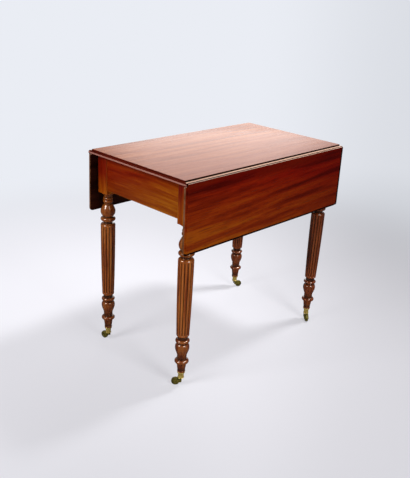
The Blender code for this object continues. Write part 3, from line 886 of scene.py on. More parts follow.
@dataclass
class Leg:
    """A square post that is turned below into beads, pears and a tapered reeded column.

    A bead is its middle height, half height, radius at its ends and at its crown. A pear is the height of its
    widest ring, from there to its full and to its slim end, and its radius at its ends and at its crown. The
    cove above them is the radius and height of its centre, and its own radius.
    """

    x: float = 0.3485
    y: float = 0.194
    post: float = 0.046
    post_top: float = 0.7055
    post_bottom: float = 0.570
    arris: float = 0.0009
    arris_faces: int = 3
    rim: float = 0.0015
    rim_in: float = 0.0018
    rim_fall: float = 0.002
    cove: tuple = (0.0262, 0.5575, 0.0124)
    reeds: int = 14
    faces_each: int = 10
    reed_depth: float = 0.0036
    reed_stop: float = 0.0012
    reed_end: float = 0.0030
    end_steps: int = 6
    long_steps: int = 12
    column_top: float = 0.4525
    column_bottom: float = 0.192
    column_top_radius: float = 0.0255
    column_bottom_radius: float = 0.0212
    neck_radius: float = 0.0152
    top_shoulder: float = 0.0075
    bottom_shoulder: float = 0.0065
    foot_top: float = 0.0840
    foot_top_radius: float = 0.0160
    foot_bottom: float = 0.0515
    foot_radius: float = 0.0124
    small_beads: tuple = ((0.5490, 0.0042, 0.0140, 0.0165), (0.5390, 0.0055, 0.0138, 0.0176))
    upper_pear: tuple = (0.5040, -0.0180, 0.0240, 0.0150, 0.0253)
    upper_bead: tuple = (0.4752, 0.0074, 0.0160, 0.0257)
    lower_bead: tuple = (0.1692, 0.0058, 0.0165, 0.0234)
    lower_pear: tuple = (0.1445, 0.0145, -0.0250, 0.0160, 0.0236)
    bottom_bead: tuple = (0.0928, 0.0070, 0.0155, 0.0236)
    foot_bead: tuple = (0.0545, 0.0027, 0.0124, 0.0134)
    # painted shade with grime: over beads and pears, deeper at their ends, less at slim ends, and in the cove
    shade_and_grime: float = 0.4
    deep_shade_and_grime: float = 0.6
    slim_shade_and_grime: float = 0.15
    cove_shade_and_grime: float = 0.5

    def bead(
        self, middle: float, half: float, ends: float, crown: float, angles: range = range(0, 181, 15)
    ) -> list[Turning]:
        """One turned bead, or a part of one.

        Args:
            middle: height of its middle.
            half: half its height.
            ends: radius where it starts and ends.
            crown: its largest radius.
            angles: its points, in degrees from its upper end.

        Returns:
            Radius, height and hollowness of each point, downwards.
        """
        points = []
        for angle in angles:
            swell = math.sin(math.radians(angle))
            height = middle + half * math.cos(math.radians(angle))
            sunk = self.shade_and_grime + self.deep_shade_and_grime * (1 - swell) ** 3
            points.append((ends + (crown - ends) * swell, height, sunk))
        return points

    def pear(self, widest: float, full: float, slim: float, ends: float, crown: float) -> list[Turning]:
        """One swelling that is round to one end and drawn out to the other.

        Args:
            widest: height of its widest ring.
            full: height from there to its round end.
            slim: height from there to its drawn-out end.
            ends: radius at its ends.
            crown: its largest radius.

        Returns:
            Radius, height and hollowness of each point, downwards.
        """
        points = []
        # a point every nine degrees, and the widest ring only once
        for reach, first, shade_and_grime in ((full, 9, self.deep_shade_and_grime), (slim, 0, self.slim_shade_and_grime)):
            for angle in range(first, 91, 9):
                share = math.sin(math.radians(angle))
                swell = math.cos(math.radians(angle))
                if reach == slim:
                    swell = (swell + (1 + math.cos(math.pi * share)) / 2) / 2
                sunk = self.shade_and_grime + shade_and_grime * (1 - swell) ** 4
                points.append((ends + (crown - ends) * swell, widest + reach * share, sunk))
        return sorted(points, key=lambda point: -point[1])

    def column(self) -> list[Turning]:
        """The column with its round shoulders: it hardly tapers at its top, and more towards its bottom.

        Returns:
            Radius, height and hollowness of each point, downwards.
        """
        top = self.column_top
        bottom = self.column_bottom
        wide = self.column_top_radius
        narrow = self.column_bottom_radius
        length = top - bottom
        stop = self.reed_stop
        near_end = [0.0, stop / 2]
        near_end += [stop + self.reed_end * step / self.end_steps for step in range(self.end_steps + 1)]
        last = near_end[-1]
        whole = length - 2 * last
        drops = near_end + [last + whole * step / self.long_steps for step in range(1, self.long_steps)]
        drops += [length - drop for drop in reversed(near_end)]
        points = self.bead(top, self.top_shoulder, self.neck_radius, wide, range(0, 90, 10))
        points += [(wide - (wide - narrow) * (drop / length) ** 2, top - drop, 0.0) for drop in drops]
        return points + self.bead(bottom, self.bottom_shoulder, self.neck_radius, narrow, range(100, 181, 10))

    def profile(self) -> list[Turning]:
        """The whole turned profile from under the post to the foot.

        Returns:
            Radius, height and hollowness of each point, downwards.
        """
        under_post = self.post / 2 - self.rim_in
        rim = arc((under_post - self.rim, self.post_bottom - self.rim_fall), self.rim, 40, -40, 4)
        cove = arc(self.cove[:2], self.cove[2], 132, 180, 6)
        points = [(radius, z, 0.0) for radius, z in [(under_post, self.post_bottom), *rim]]
        points += [(radius, z, self.cove_shade_and_grime) for radius, z in cove]
        for small in self.small_beads:
            points += self.bead(*small)
        points += self.pear(*self.upper_pear) + self.bead(*self.upper_bead) + self.column()
        points += self.bead(*self.lower_bead) + self.pear(*self.lower_pear) + self.bead(*self.bottom_bead)
        points.append((self.foot_top_radius, self.foot_top, self.shade_and_grime))
        points += self.bead(*self.foot_bead)
        points.append((self.foot_radius, self.foot_bottom, self.deep_shade_and_grime))
        return points

    def reed(self, shape: BMesh, hollow: BMLayerItem) -> None:
        """Works the reeds into the spun column: each is a half round, with a sharp groove beside it.

        Args:
            shape: the spun leg about its own axis.
            hollow: the layer that keeps how much painted shade and grime each point gets.
        """
        for vert in shape.verts:
            height = vert.co.z
            to_end = min(height - self.column_bottom, self.column_top - height) - self.reed_stop
            if to_end <= 0:
                continue
            share = min(to_end / self.reed_end, 1.0)
            turns = math.atan2(vert.co.y, vert.co.x) / (2 * math.pi) * self.reeds
            across = 2 * ((turns + 0.5) % 1.0) - 1
            groove = 1 - math.sqrt(max(0.0, 1 - across * across))
            # the grooves get painted shade
            vert[hollow] = math.sqrt(share) * across * across
            sunk = self.reed_depth * math.sin(share * math.pi / 2) * groove
            radius = math.hypot(vert.co.x, vert.co.y)
            vert.co.x *= 1 - sunk / radius
            vert.co.y *= 1 - sunk / radius

    def build(self, sign_x: int, sign_y: int) -> BMesh:
        """Makes one leg.

        Args:
            sign_x: which way along X it stands.
            sign_y: which way along Y it stands.

        Returns:
            The shape in place.
        """
        half = self.post / 2
        shape = block((-half, -half, self.post_bottom), (half, half, self.post_top))
        set_finish(list(shape.faces), LegFace.POST)
        upright = [edge for edge in shape.edges if edge.verts[0].co.z != edge.verts[1].co.z]
        set_finish(ease(shape, upright, self.arris, self.arris_faces), LegFace.EDGE)
        below = min(shape.faces, key=lambda face: face.calc_center_median().z)
        bmesh.ops.delete(shape, geom=[below], context="FACES_ONLY")
        hollow = shape.verts.layers.float.new("hollow")
        profile = self.profile()
        geom = chain(shape, [(radius, 0.0, z) for radius, z, _ in profile], False)
        for vert, point in zip(geom, profile):
            vert[hollow] = point[2]
        spin(shape, geom, self.reeds * self.faces_each)
        open_edges = [edge for edge in shape.edges if edge.is_boundary]
        foot = [edge for edge in open_edges if edge.verts[0].co.z < self.foot_bottom + TINY]
        bmesh.ops.edgeloop_fill(shape, edges=foot)
        bmesh.ops.bridge_loops(shape, edges=[edge for edge in open_edges if edge not in foot])
        bmesh.ops.recalc_face_normals(shape, faces=shape.faces)
        self.reed(shape, hollow)
        bmesh.ops.translate(shape, verts=shape.verts, vec=(sign_x * self.x, sign_y * self.y, 0))
        return shape


# Apron


class RailFace(IntEnum):
    """The numbers of an end rail's finishes."""

    BOARD = 0
    EDGE = 1


@dataclass
class Apron:
    """The rails between the posts, with the flies and their fixed outer rails at the sides."""

    bottom: float = 0.585
    top: float = 0.7055
    thick: float = 0.020
    end_x: float = 0.3605
    between_posts: float = 0.1707
    arris: float = 0.0008
    side_arris: float = 0.0006

    def end_rail(self, end: str) -> BMesh:
        """Makes the rail under one end of the top.

        Args:
            end: left or right.

        Returns:
            The shape in place.
        """
        middle = -self.end_x if end == "left" else self.end_x
        half = self.thick / 2
        low = (middle - half, -self.between_posts, self.bottom)
        shape = block(low, (middle + half, self.between_posts, self.top))
        set_finish(ease(shape, list(shape.edges), self.arris), RailFace.EDGE)
        return shape


# Castors


class HornFace(IntEnum):
    """The numbers of a horn's finishes: its boss is scoured bright, its cheeks partly painted shade."""

    BRIGHT = 0
    DULL = 1


@dataclass
class Castor:
    """A brass plate castor: a turned stem under the foot, a forked horn and a wheel behind it.

    Steps on the boss are how far they lie out from its radius, and up from its bottom or, for the rim,
    from its top. Steps on the wheel are their radius, and how far they lie in from its side.
    """

    trail: float = 0.018
    wheel_radius: float = 0.0135
    wheel_half: float = 0.006
    wheel_steps: tuple = (
        (0.0042, 0.0),
        (0.0050, 0.0007),
        (0.0090, 0.0013),
        (0.0106, 0.0006),
        (0.0116, 0.0008),
    )
    tread_round: float = 0.0030
    tread_in: float = 0.0036
    bore: float = 0.0022
    axle: float = 0.0018
    axle_past: float = 0.0006
    axle_steps: int = 24
    boss: float = 0.0098
    boss_bottom: float = 0.0275
    boss_top: float = 0.0469
    boss_foot: tuple = ((-0.0006, 0.0), (0.0, 0.0003))
    boss_waist: tuple = ((0.0, 0.0042), (-0.0003, 0.0075))
    boss_rim: tuple = ((-0.0003, -0.0012), (0.0003, -0.0006), (0.0003, 0.0))
    flange: float = 0.0107
    flange_up: float = 0.0021
    flange_round: float = 0.0014
    bright_up: float = 0.0010
    bright_reach: float = 0.0109
    stem_bore: float = 0.0040
    cheek_inner: float = 0.0066
    cheek_thick: float = 0.0020
    crown_z: float = 0.0262
    heel_z: float = 0.0172
    lead: float = 0.0012
    back: float = 0.0044
    eye: float = 0.0046
    web_inner: float = 0.0150
    web_outer: float = 0.0168
    play: float = 0.0003
    soft: float = 0.0004
    plate_radius: float = 0.0126
    plate_bottom: float = 0.0472
    plate_top: float = 0.0512
    spindle: float = 0.0035
    spindle_top: float = 0.090
    rivet: float = 0.0050
    rivet_soft: float = 0.0006
    rivet_thick: float = 0.0018
    round_steps: int = 48
    turns: tuple = (("front_left", 133.0), ("rear_left", 99.0), ("front_right", 228.0), ("rear_right", -28.0))

    def stem(self) -> BMesh:
        """Makes the plate under the foot, with its spindle and rivet.

        Returns:
            The shape about the leg's axis.
        """
        head = self.boss_bottom - self.play
        tip = head - self.rivet_thick
        rim = self.plate_radius
        profile = [(self.rivet - self.rivet_soft, tip), (self.rivet, tip + self.rivet_soft)]
        profile += [(self.rivet, head), (self.spindle, head), (self.spindle, self.plate_bottom)]
        profile += [(rim - self.soft, self.plate_bottom), (rim, self.plate_bottom + self.soft)]
        profile += [(rim, self.plate_top - self.soft), (rim - self.soft, self.plate_top)]
        profile += [(self.spindle, self.plate_top), (self.spindle, self.spindle_top)]
        shape = bmesh.new()
        spin(shape, chain(shape, [(radius, 0.0, z) for radius, z in profile], False), self.round_steps)
        for height in (tip, self.spindle_top):
            level = [edge for edge in shape.edges if abs(edge.verts[0].co.z - height) < TINY]
            bmesh.ops.edgeloop_fill(shape, edges=[edge for edge in level if edge.is_boundary])
        bmesh.ops.recalc_face_normals(shape, faces=shape.faces)
        return shape

    def horn_boss(self) -> BMesh:
        """Makes the boss with its flange.

        Returns:
            The shape about the leg's axis.
        """
        low = self.boss_bottom
        profile = [(self.stem_bore, low)] + [(self.boss + out, low + up) for out, up in self.boss_foot]
        profile += arc((self.flange - self.flange_round, low + self.flange_up), self.flange_round, -70, 70, 6)
        profile += [(self.boss + out, low + up) for out, up in self.boss_waist]
        profile += [(self.boss + out, self.boss_top + up) for out, up in self.boss_rim]
        profile.append((self.stem_bore, self.boss_top))
        shape = bmesh.new()
        spin(shape, chain(shape, [(radius, 0.0, z) for radius, z in profile], True), self.round_steps)
        bmesh.ops.recalc_face_normals(shape, faces=shape.faces)
        return shape

    def horn(self) -> BMesh:
        """Makes the boss and the two webbed cheeks that hold the wheel, and numbers their finishes.

        Returns:
            The shape about the leg's axis, with the wheel's place along +X.
        """
        eye = (self.trail, self.wheel_radius)
        slope = math.degrees(math.atan2(eye[1] - self.crown_z, eye[0] - self.lead))
        outline = arc(eye, self.eye, -90, slope + 90, 14)
        outline += arc((self.lead, self.crown_z), self.back, slope + 90, 180, 8)
        outline += arc((self.lead, self.heel_z), self.back, 180, 270, 8)
        curve = arc(eye, self.web_inner, 178, 118, 14) + arc(eye, self.web_outer, 118, 178, 14)
        reach = self.cheek_inner + self.cheek_thick - self.play
        parts = [plate([(x, -reach, z) for x, z in curve], (0, 2 * reach, 0))]
        for start in (self.cheek_inner, -self.cheek_inner - self.cheek_thick):
            cheek = plate([(x, start, z) for x, z in outline], (0, self.cheek_thick, 0))
            ease(cheek, sharp_edges(cheek), self.soft)
            parts.append(cheek)
        shape = combined(self.horn_boss(), parts, Joinery.JOIN)
        for face in shape.faces:
            middle = face.calc_center_median()
            # the cheeks' dull brass is partly painted shade
            on_boss = math.hypot(middle.x, middle.y) < self.bright_reach
            rubbed_and_lit = on_boss and middle.z > self.boss_bottom + self.bright_up
            set_finish([face], HornFace.BRIGHT if rubbed_and_lit else HornFace.DULL)
        return shape

    def wheel(self) -> BMesh:
        """Makes the wheel about its own axle along Y: a crowned tread, dished sides and a hub.

        Returns:
            The shape about the origin.
        """
        half = self.wheel_half
        radius = self.wheel_radius
        side = [(self.bore, half)] + [(reach, half - deep) for reach, deep in self.wheel_steps]
        side += arc((radius - self.tread_round, half - self.tread_in), self.tread_round, 65, 12, 5)
        profile = side + [(radius, 0.0)] + [(reach, -across) for reach, across in reversed(side)]
        shape = bmesh.new()
        ring = chain(shape, [(reach, across, 0.0) for reach, across in profile], True)
        spin(shape, ring, self.round_steps, (0, 1, 0))
        bmesh.ops.recalc_face_normals(shape, faces=shape.faces)
        return shape

    def axle_pin(self) -> BMesh:
        """Makes the axle with its ends hammered round.

        Returns:
            The shape about the origin.
        """
        reach = self.cheek_inner + self.cheek_thick + self.axle_past
        shape = bmesh.new()
        place = Matrix.Rotation(math.pi / 2, 4, "X")
        size = {"segments": self.axle_steps, "radius1": self.axle, "radius2": self.axle, "depth": 2 * reach}
        bmesh.ops.create_cone(shape, cap_ends=True, matrix=place, **size)
        ease(shape, sharp_edges(shape), self.axle_past, 3)
        return shape

    def place(self, corner: str, local: Point3) -> Matrix:
        """Where a castor's piece goes.

        Args:
            corner: the leg's name.
            local: its place with the castor's trail along +X.

        Returns:
            The matrix for its shape.
        """
        sign_x, sign_y = CORNERS[corner]
        leg = Leg()
        turn = Matrix.Rotation(math.radians(dict(self.turns)[corner]), 4, "Z")
        return Matrix.Translation((sign_x * leg.x, sign_y * leg.y, 0)) @ turn @ Matrix.Translation(local)


# The room


@dataclass
class Studio:
    """A pale sweep under soft light, and the camera that looks down on the table's left front corner.

    A pool is its centre, its reach and how bright the sweep's glow is in its middle. A lamp is its name, its
    place, what it points at, its size, its watts and how wide its beam is, in degrees.
    """

    place: tuple = (-1.6553, -1.4958, 1.2598)
    azimuth: float = -46.79
    elevation: float = 21.73
    roll: float = 3.26
    lens: float = 49.27
    sensor: float = 36.0
    floor_radius: float = 400.0
    floor_colour: str = "#E2E2E8"
    floor_mirrored: float = 0.06
    near_glow: str = "#F8F7FE"
    far_glow: str = "#EAEDF4"
    pools: tuple = (
        ((1.6, 0.0, 0.0), 1.6, 0.85),
        ((-0.95, -0.4, 0.0), 0.8, 0.84),
        ((0.0, 0.7, 0.0), 1.1, 1.2),
    )
    glow_share: float = 0.5
    near: float = 0.7
    far: float = 2.2
    dusk_way: tuple = (0.6845, -0.729, 0.0)
    dusk_from: float = 0.05
    dusk_to: float = 0.30
    dusk_share: float = 0.86
    room_light: float = 0.12
    wall_light: float = 1.75
    wall_colour: str = "#F1EEEE"
    wall_way: tuple = (0.731, 0.682, 0.0)
    wall_side: Point2 = (0.955, 0.998)
    wall_top: Point2 = (0.72, 0.50)
    lamps: tuple = (
        ("key_softbox", (1.6, -0.5, 3.2), (-0.1, 0.7, 0.0), 0.5, 9.6, 54.0),
        ("left_fill", (-2.2, 0.3, 1.8), (0.0, 0.0, 0.4), 0.8, 26.0, 180.0),
        ("front_fill", (-0.4, -2.3, 2.1), (0.0, 0.0, 0.4), 0.8, 31.0, 180.0),
    )

    def dusk(self, tree: NodeTree, way: NodeSocket) -> NodeSocket:
        """How much of the glow is left towards the room's darker side, on the right of the table.

        Args:
            tree: the floor's or the world's nodes.
            way: level directions of length one.

        Returns:
            The share.
        """
        settings = {"operation": "DOT_PRODUCT", 1: self.dusk_way}
        aside = add_node(tree, "VectorMath", settings, {0: way}).outputs["Value"]
        settings = {"From Min": self.dusk_from, "From Max": self.dusk_to, **SMOOTH}
        settings |= {"To Min": 1.0, "To Max": self.dusk_share}
        return add_node(tree, "MapRange", settings, {"Value": aside}).outputs[0]

    def paint(self) -> Material:
        """Builds the sweep's paint.

        Part of what the camera sees of it is its own pale glow, so shadows stay light. The glow has brighter
        and dimmer pools, where more or less of the room's light falls on it.

        Returns:
            The material.
        """
        material = bpy.data.materials.new("painted_sweep")
        tree = empty_tree(material)
        colour = linear(self.floor_colour)
        flat = add_node(tree, "BsdfDiffuse", {"Color": colour}, {}).outputs[0]
        place = add_node(tree, "TexCoord", {}, {}).outputs["Object"]
        away = add_node(tree, "VectorMath", {"operation": "LENGTH"}, {0: place}).outputs["Value"]
        ends = {"From Min": self.near, "From Max": self.far, **SMOOTH}
        far = add_node(tree, "MapRange", ends, {"Value": away}).outputs[0]
        colours = {"data_type": "RGBA", 6: linear(self.near_glow), 7: linear(self.far_glow)}
        tone = add_node(tree, "Mix", colours, {0: far}).outputs[2]
        settings = {"operation": "SUBTRACT", 1: (*self.place[:2], 0.0)}
        off = add_node(tree, "VectorMath", settings, {0: place}).outputs[0]
        way = add_node(tree, "VectorMath", {"operation": "NORMALIZE"}, {0: off}).outputs[0]
        strength = self.dusk(tree, way)
        for centre, reach, gain in self.pools:
            settings = {"operation": "DISTANCE", 1: centre}
            off = add_node(tree, "VectorMath", settings, {0: place}).outputs["Value"]
            ends = {"From Max": reach, "To Min": gain, "To Max": 1.0, **SMOOTH}
            pool = add_node(tree, "MapRange", ends, {"Value": off}).outputs[0]
            strength = add_node(tree, "Math", {"operation": "MULTIPLY"}, {0: pool, 1: strength}).outputs[0]
        glow = add_node(tree, "Emission", {}, {"Color": tone, "Strength": strength}).outputs[0]
        path = add_node(tree, "LightPath", {}, {}).outputs
        share = add_node(tree, "MapRange", {"To Min": self.glow_share}, {"Value": far}).outputs[0]
        links = {0: share, 1: path["Is Camera Ray"]}
        shown = add_node(tree, "Math", {"operation": "MULTIPLY"}, links).outputs[0]
        lit = add_node(tree, "MixShader", {}, {0: shown, 1: flat, 2: glow}).outputs[0]
        # the polish mirrors little of the floor, as through a polarising filter
        dim = add_node(tree, "Emission", {"Color": colour, "Strength": self.floor_mirrored}, {}).outputs[0]
        mixed = add_node(tree, "MixShader", {}, {0: path["Is Glossy Ray"], 1: lit, 2: dim}).outputs[0]
        add_node(tree, "OutputMaterial", {}, {"Surface": mixed})
        return material

    def floor(self) -> None:
        """Lays the sweep."""
        shape = bmesh.new()
        bmesh.ops.create_circle(shape, cap_ends=True, segments=64, radius=self.floor_radius)
        mesh = bpy.data.meshes.new("sweep")
        shape.to_mesh(mesh)
        shape.free()
        mesh.materials.append(self.paint())
        sweep = bpy.data.objects.new("sweep", mesh)
        bpy.context.scene.collection.objects.link(sweep)

    def world(self) -> None:
        """Fills the room: a pale wall low down behind the table, dark above it and behind the camera."""
        world = bpy.data.worlds.new("studio_room")
        bpy.context.scene.world = world
        tree = empty_tree(world)
        way = add_node(tree, "TexCoord", {}, {}).outputs["Generated"]
        height = add_node(tree, "SeparateXYZ", {}, {"Vector": way}).outputs["Z"]
        settings = {"operation": "MULTIPLY", 1: (1.0, 1.0, 0.0)}
        flat = add_node(tree, "VectorMath", settings, {0: way}).outputs[0]
        level = add_node(tree, "VectorMath", {"operation": "NORMALIZE"}, {0: flat}).outputs[0]
        settings = {"operation": "DOT_PRODUCT", 1: self.wall_way}
        behind = add_node(tree, "VectorMath", settings, {0: level}).outputs["Value"]
        parts = []
        for (start, stop), value in ((self.wall_side, behind), (self.wall_top, height)):
            settings = {"From Min": start, "From Max": stop, **SMOOTH}
            parts.append(add_node(tree, "MapRange", settings, {"Value": value}).outputs[0])
        wall = add_node(tree, "Math", {"operation": "MULTIPLY"}, {0: parts[0], 1: parts[1]}).outputs[0]
        settings = {"To Min": self.room_light, "To Max": self.wall_light}
        light = add_node(tree, "MapRange", settings, {"Value": wall}).outputs[0]
        seen = add_node(tree, "LightPath", {}, {}).outputs["Is Camera Ray"]
        shown = add_node(tree, "Mix", {}, {0: seen, 2: light, 3: self.dusk(tree, level)}).outputs[0]
        colours = {"data_type": "RGBA", 6: linear(self.wall_colour), 7: linear(self.far_glow)}
        tone = add_node(tree, "Mix", colours, {0: seen}).outputs[2]
        room = add_node(tree, "Background", {}, {"Color": tone, "Strength": shown}).outputs[0]
        add_node(tree, "OutputWorld", {}, {"Surface": room})

    def lamp(self, name: str, place: Point3, aim: Point3, size: float, watts: float, spread: float) -> None:
        """Hangs one softbox.

        Args:
            name: its name.
            place: where its middle is.
            aim: what it points at.
            size: its side.
            watts: its power.
            spread: how wide its beam is, in degrees.
        """
        data = bpy.data.lights.new(name, "AREA")
        data.shape = "SQUARE"
        data.size = size
        data.energy = watts
        data.spread = math.radians(spread)
        lamp = bpy.data.objects.new(name, data)
        lamp.location = place
        lamp.rotation_euler = (Vector(place) - Vector(aim)).to_track_quat("Z", "Y").to_euler()
        bpy.context.scene.collection.objects.link(lamp)

    def camera(self) -> None:
        """Sets up the camera where the photograph was taken from."""
        data = bpy.data.cameras.new("view")
        data.lens = self.lens
        data.sensor_width = self.sensor
        camera = bpy.data.objects.new("view", data)
        look = Matrix.Rotation(math.radians(self.azimuth), 4, "Z")
        look = look @ Matrix.Rotation(math.radians(90 - self.elevation), 4, "X")
        look = look @ Matrix.Rotation(math.radians(self.roll), 4, "Z")
        camera.matrix_world = Matrix.Translation(self.place) @ look
        bpy.context.scene.collection.objects.link(camera)
        bpy.context.scene.camera = camera

    def build(self) -> None:
        """Sets up the whole room."""
        bpy.context.scene.view_settings.view_transform = "Standard"
        self.floor()
        self.world()
        for lamp in self.lamps:
            self.lamp(*lamp)
        self.camera()
        log.info("studio ready")


# The finishes of this table, and its pieces in order


def make_finishes() -> dict[str, Material]:
    """Builds every finish.

    Returns:
        The materials by name.
    """
    # a painted sheen towards the top's front edge
    to_front = Shade(Course((0.0, -1.0, 0.0), -0.08, 0.2), 0.6, "#A06C60")
    # painted shade towards the leaf's right end
    to_right = Shade(Course((1.0, 0.0, 0.0), -0.1, 0.42), 0.34, "#4E0502")
    # painted shade along the leaf's top, under the joint
    to_joint = Shade(Course((0.0, 0.0, 1.0), 0.672, 0.690), 0.5, "#3A0201")
    # the left legs painted darker and the right legs lighter towards their feet
    to_foot = Course((0.0, 0.0, -1.0), -0.30, -0.19)
    # the posts painted darker under the top and paler low down
    down_post = Course((0.0, -0.1, -1.0), -0.66, -0.58)
    # the top painted paler to its right rear
    top_look = {"lit_course": Course((1.0, 1.0, 0.0), -0.5, 0.4), "shades": (to_front,), "slant": 2.0}
    top_look |= {"roughness": 0.22, "specular": 0.5, "tint": "#FFFFFF", "streak_share": 0.25}
    # the leaves painted paler low down and to the left
    leaf_look = {"lit_course": Course((-0.12, 0.0, -1.0), -0.67, -0.45), "shades": (to_right, to_joint)}
    leaf_look |= {"band_wide": 26.0, "band_long": 1100.0, "bend": 14.0, "bend_size": 480.0, "slant": 2.5}
    leaf_look |= {"streak_wide": 2.8, "streak_long": 460.0, "streak_share": 0.6, "roughness": 0.22}
    leg_look = {"band_wide": 9.0, "band_long": 260.0, "hollow": 0.85}
    leg_look |= {"roughness": 0.25, "specular": 1.0, "coat": 1.0}
    post_look = {"lit_course": down_post, "band_wide": 12.0, "band_long": 260.0}
    # the aprons painted darker under the top, paler low down and to the front
    apron_look = {"lit_course": Course((0.0, -0.3, -1.0), -0.68, -0.57), "band_wide": 16.0, "band_long": 300.0}
    shaded_look = {"specular": 0.03}
    rubbed_and_lit = {"streak_share": 0.25}
    along_x = Grain.ALONG_X
    along_y = Grain.ALONG_Y
    along_z = Grain.ALONG_Z
    kinds = [
        # polished boards, smooth and clear; painted light pales the top's right rear
        Mahogany(
            "polished_mahogany_top", "#94512F", "#A9613E", "#B8714A", along_x,
            lit_tones=("#A55C33", "#B96A3D", "#C3794A"), **top_look,
        ),
        # the hanging leaves keep their red, painted darker at the top and paler low down and to the left
        Mahogany(
            "polished_mahogany_leaf", "#4E0502", "#821103", "#8C1E04", along_x,
            lit_tones=("#7E2406", "#943C0A", "#A6540C"), **leaf_look,
        ),
        # mouldings darkened with painted shade, and nearly without gloss
        Mahogany("shaded_mahogany_side", "#1C0604", "#280B06", "#36110A", along_x, **shaded_look),
        Mahogany("shaded_mahogany_end", "#44100A", "#54150A", "#661C0E", along_y, **shaded_look),
        # painted light on lips and lines; edges that hands and cloths abraded pale; all with fewer streaks
        Mahogany("highlit_mahogany_foot", "#A0685A", "#B07669", "#BE8678", along_y, **rubbed_and_lit),
        Mahogany("lit_mahogany_lip", "#6E4226", "#805236", "#906044", along_x, **rubbed_and_lit),
        Mahogany("highlit_mahogany_line", "#C8A08A", "#DAB29A", "#E8C0AA", along_x, **rubbed_and_lit),
        # the edges painted darker under the top and paler low down
        Mahogany(
            "rubbed_mahogany_edge", "#662C0E", "#7E3C14", "#925020", along_z,
            lit_tones=("#94521C", "#AC681E", "#BE7E30"), lit_course=down_post, **rubbed_and_lit,
        ),
        # turned work, waxed to a bright gloss, with painted shade and grime in its hollows
        # lit and shaded copies for the left and right legs, painted darker and lighter towards their feet
        Mahogany(
            "turned_mahogany_left", "#8C3A10", "#BE621C", "#D88034", along_z,
            shades=(Shade(to_foot, 0.4, "#8C3A10"),), **leg_look,
        ),
        Mahogany(
            "turned_mahogany_right", "#62260A", "#8C3C14", "#A65422", along_z,
            lit_tones=("#7A3210", "#A64A1A", "#BE642A"), lit_course=to_foot, **leg_look,
        ),
        # planed posts and aprons, painted darker under the top and paler orange low down
        Mahogany(
            "planed_mahogany_post", "#6E1204", "#861C05", "#963008", along_z,
            lit_tones=("#943C06", "#AC5208", "#BE6A10"), **post_look,
        ),
        Mahogany(
            "planed_mahogany_apron", "#761403", "#8C2405", "#9A3608", along_y,
            lit_tones=("#944206", "#A85408", "#BA6A10"), **apron_look,
        ),
        # wood that was never polished, dull all over
        Mahogany("bare_mahogany_rail", "#5A2A12", "#74401C", "#8A5428", along_x, roughness=0.5),
        # the leaves' inner faces, near black with painted shade
        Mahogany(
            "shaded_bare_mahogany_leaf", "#1E0804", "#2A0E07", "#38160B", along_x,
            roughness=0.6, specular=0.05,
        ),
        # cast brass under a film of tarnish, which scatters light, so it looks only partly metallic
        AgedMetal("cast_brass_bright", "#FFE080", "#D8B458", 9.0, (0.16, 0.30), 0.55),
        AgedMetal("cast_brass_dull", "#8C8030", "#40380F", 7.0, (0.32, 0.55), 0.4),
        # iron from the forge, dark and rough
        AgedMetal("forged_iron", "#4A4642", "#2E2723", 12.0, (0.45, 0.70)),
    ]
    return {kind.name: kind.make() for kind in kinds}


def add_boards(finishes: dict[str, Material]) -> None:
    """Adds the top and both leaves.

    Args:
        finishes: the materials by name.
    """
    on_top = (
        "polished_mahogany_top",
        "shaded_mahogany_side",
        "highlit_mahogany_line",
        "shaded_mahogany_end",
        "highlit_mahogany_foot",
    )
    on_leaf = (
        "polished_mahogany_leaf",
        "shaded_mahogany_side",
        "lit_mahogany_lip",
        "shaded_bare_mahogany_leaf",
        "highlit_mahogany_line",
    )
    joint = RuleJoint()
    top = TableTop(joint)
    shape = top.build()
    top.dress(shape)
    add_piece("top_board", shape, "frame", [finishes[name] for name in on_top], ("top_panel",))
    leaf_finishes = [finishes[name] for name in on_leaf]
    reaches = {"front": 0.2205, "rear": 0.2035}
    for side, reach in reaches.items():
        leaf = Leaf(joint, side, reach)
        shape = leaf.build()
        leaf.dress(shape)
        leaf.hang(shape)
        body = side + "_leaf"
        add_piece(body + "_board", shape, body, leaf_finishes, (body,))


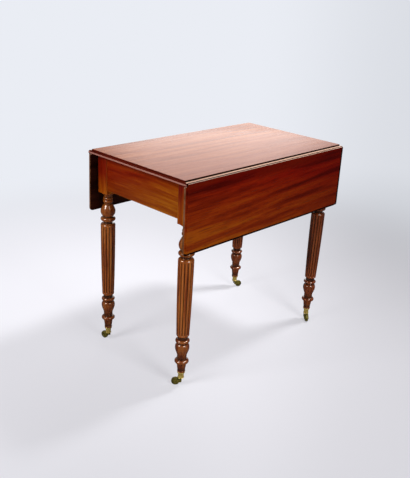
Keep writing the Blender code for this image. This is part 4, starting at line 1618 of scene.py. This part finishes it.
def add_base(finishes: dict[str, Material]) -> None:
    """Adds the legs, the rails, the flies and the fixing blocks.

    Args:
        finishes: the materials by name.
    """
    leg = Leg()
    edge = finishes["rubbed_mahogany_edge"]
    for corner, signs in CORNERS.items():
        node = corner + "_leg"
        # the left and right legs take lit and shaded copies of the turned finish
        turned = finishes["turned_mahogany_" + corner.split("_")[1]]
        leg_finishes = [turned, edge, finishes["planed_mahogany_post"]]
        add_piece(corner + "_turned_leg", leg.build(*signs), "frame", leg_finishes, (node,))
    apron = Apron()
    for end in ENDS:
        node = end + "_end_rail"
        rail_finishes = [finishes["planed_mahogany_apron"], edge]
        add_piece(end + "_end_apron", apron.end_rail(end), "frame", rail_finishes, (node,))
    parts = ("inner_rail", "knuckle_rail", "stop_rail", "fly")
    nodes = [f"{side}_{part}" for side in SIDES for part in parts]
    for node in nodes + [corner + "_fixing_block" for corner in CORNERS]:
        body = node if node.endswith("_fly") else "frame"
        shape = eased_copy(node, apron.side_arris)
        add_piece(node + "_wood", shape, body, [finishes["bare_mahogany_rail"]], (node,))


def add_castors(finishes: dict[str, Material]) -> None:
    """Adds the four castors, each turned the way it stands.

    Args:
        finishes: the materials by name.
    """
    castor = Castor()
    on_leg = (0.0, 0.0, 0.0)
    on_axle = (castor.trail, 0.0, castor.wheel_radius)
    bright = [finishes["cast_brass_bright"]]
    dull = [finishes["cast_brass_dull"]]
    for corner in CORNERS:
        pieces = (
            ("plate", castor.stem(), "frame", bright, on_leg),
            ("horn", castor.horn(), corner + "_castor", bright + dull, on_leg),
            ("axle", castor.axle_pin(), corner + "_castor", dull, on_axle),
            ("wheel", castor.wheel(), corner + "_wheel", dull, on_axle),
        )
        for name, shape, body, finish, local in pieces:
            bmesh.ops.transform(shape, matrix=castor.place(corner, local), verts=shape.verts)
            node = f"{corner}_castor_{name}"
            add_piece(node + "_brass", shape, body, finish, (node,))


def dress_ironwork(finishes: dict[str, Material]) -> None:
    """Dresses the hinges, pins and screws, whose solids stay.

    Args:
        finishes: the materials by name.
    """
    parts = ("hinge_top_plate", "hinge_pin", "hinge_leaf_plate", "fixing_screw")
    nodes = [f"{corner}_{part}" for corner in CORNERS for part in parts]
    for node in nodes + [side + "_fly_pin" for side in SIDES]:
        dress_solid(node, finishes["forged_iron"])


def main() -> None:
    """Builds and dresses the table, then the room."""
    logging.basicConfig(level=logging.INFO, format="%(message)s")
    finishes = make_finishes()
    add_boards(finishes)
    add_base(finishes)
    add_castors(finishes)
    dress_ironwork(finishes)
    Studio().build()


if __name__ == "__main__":
    main()
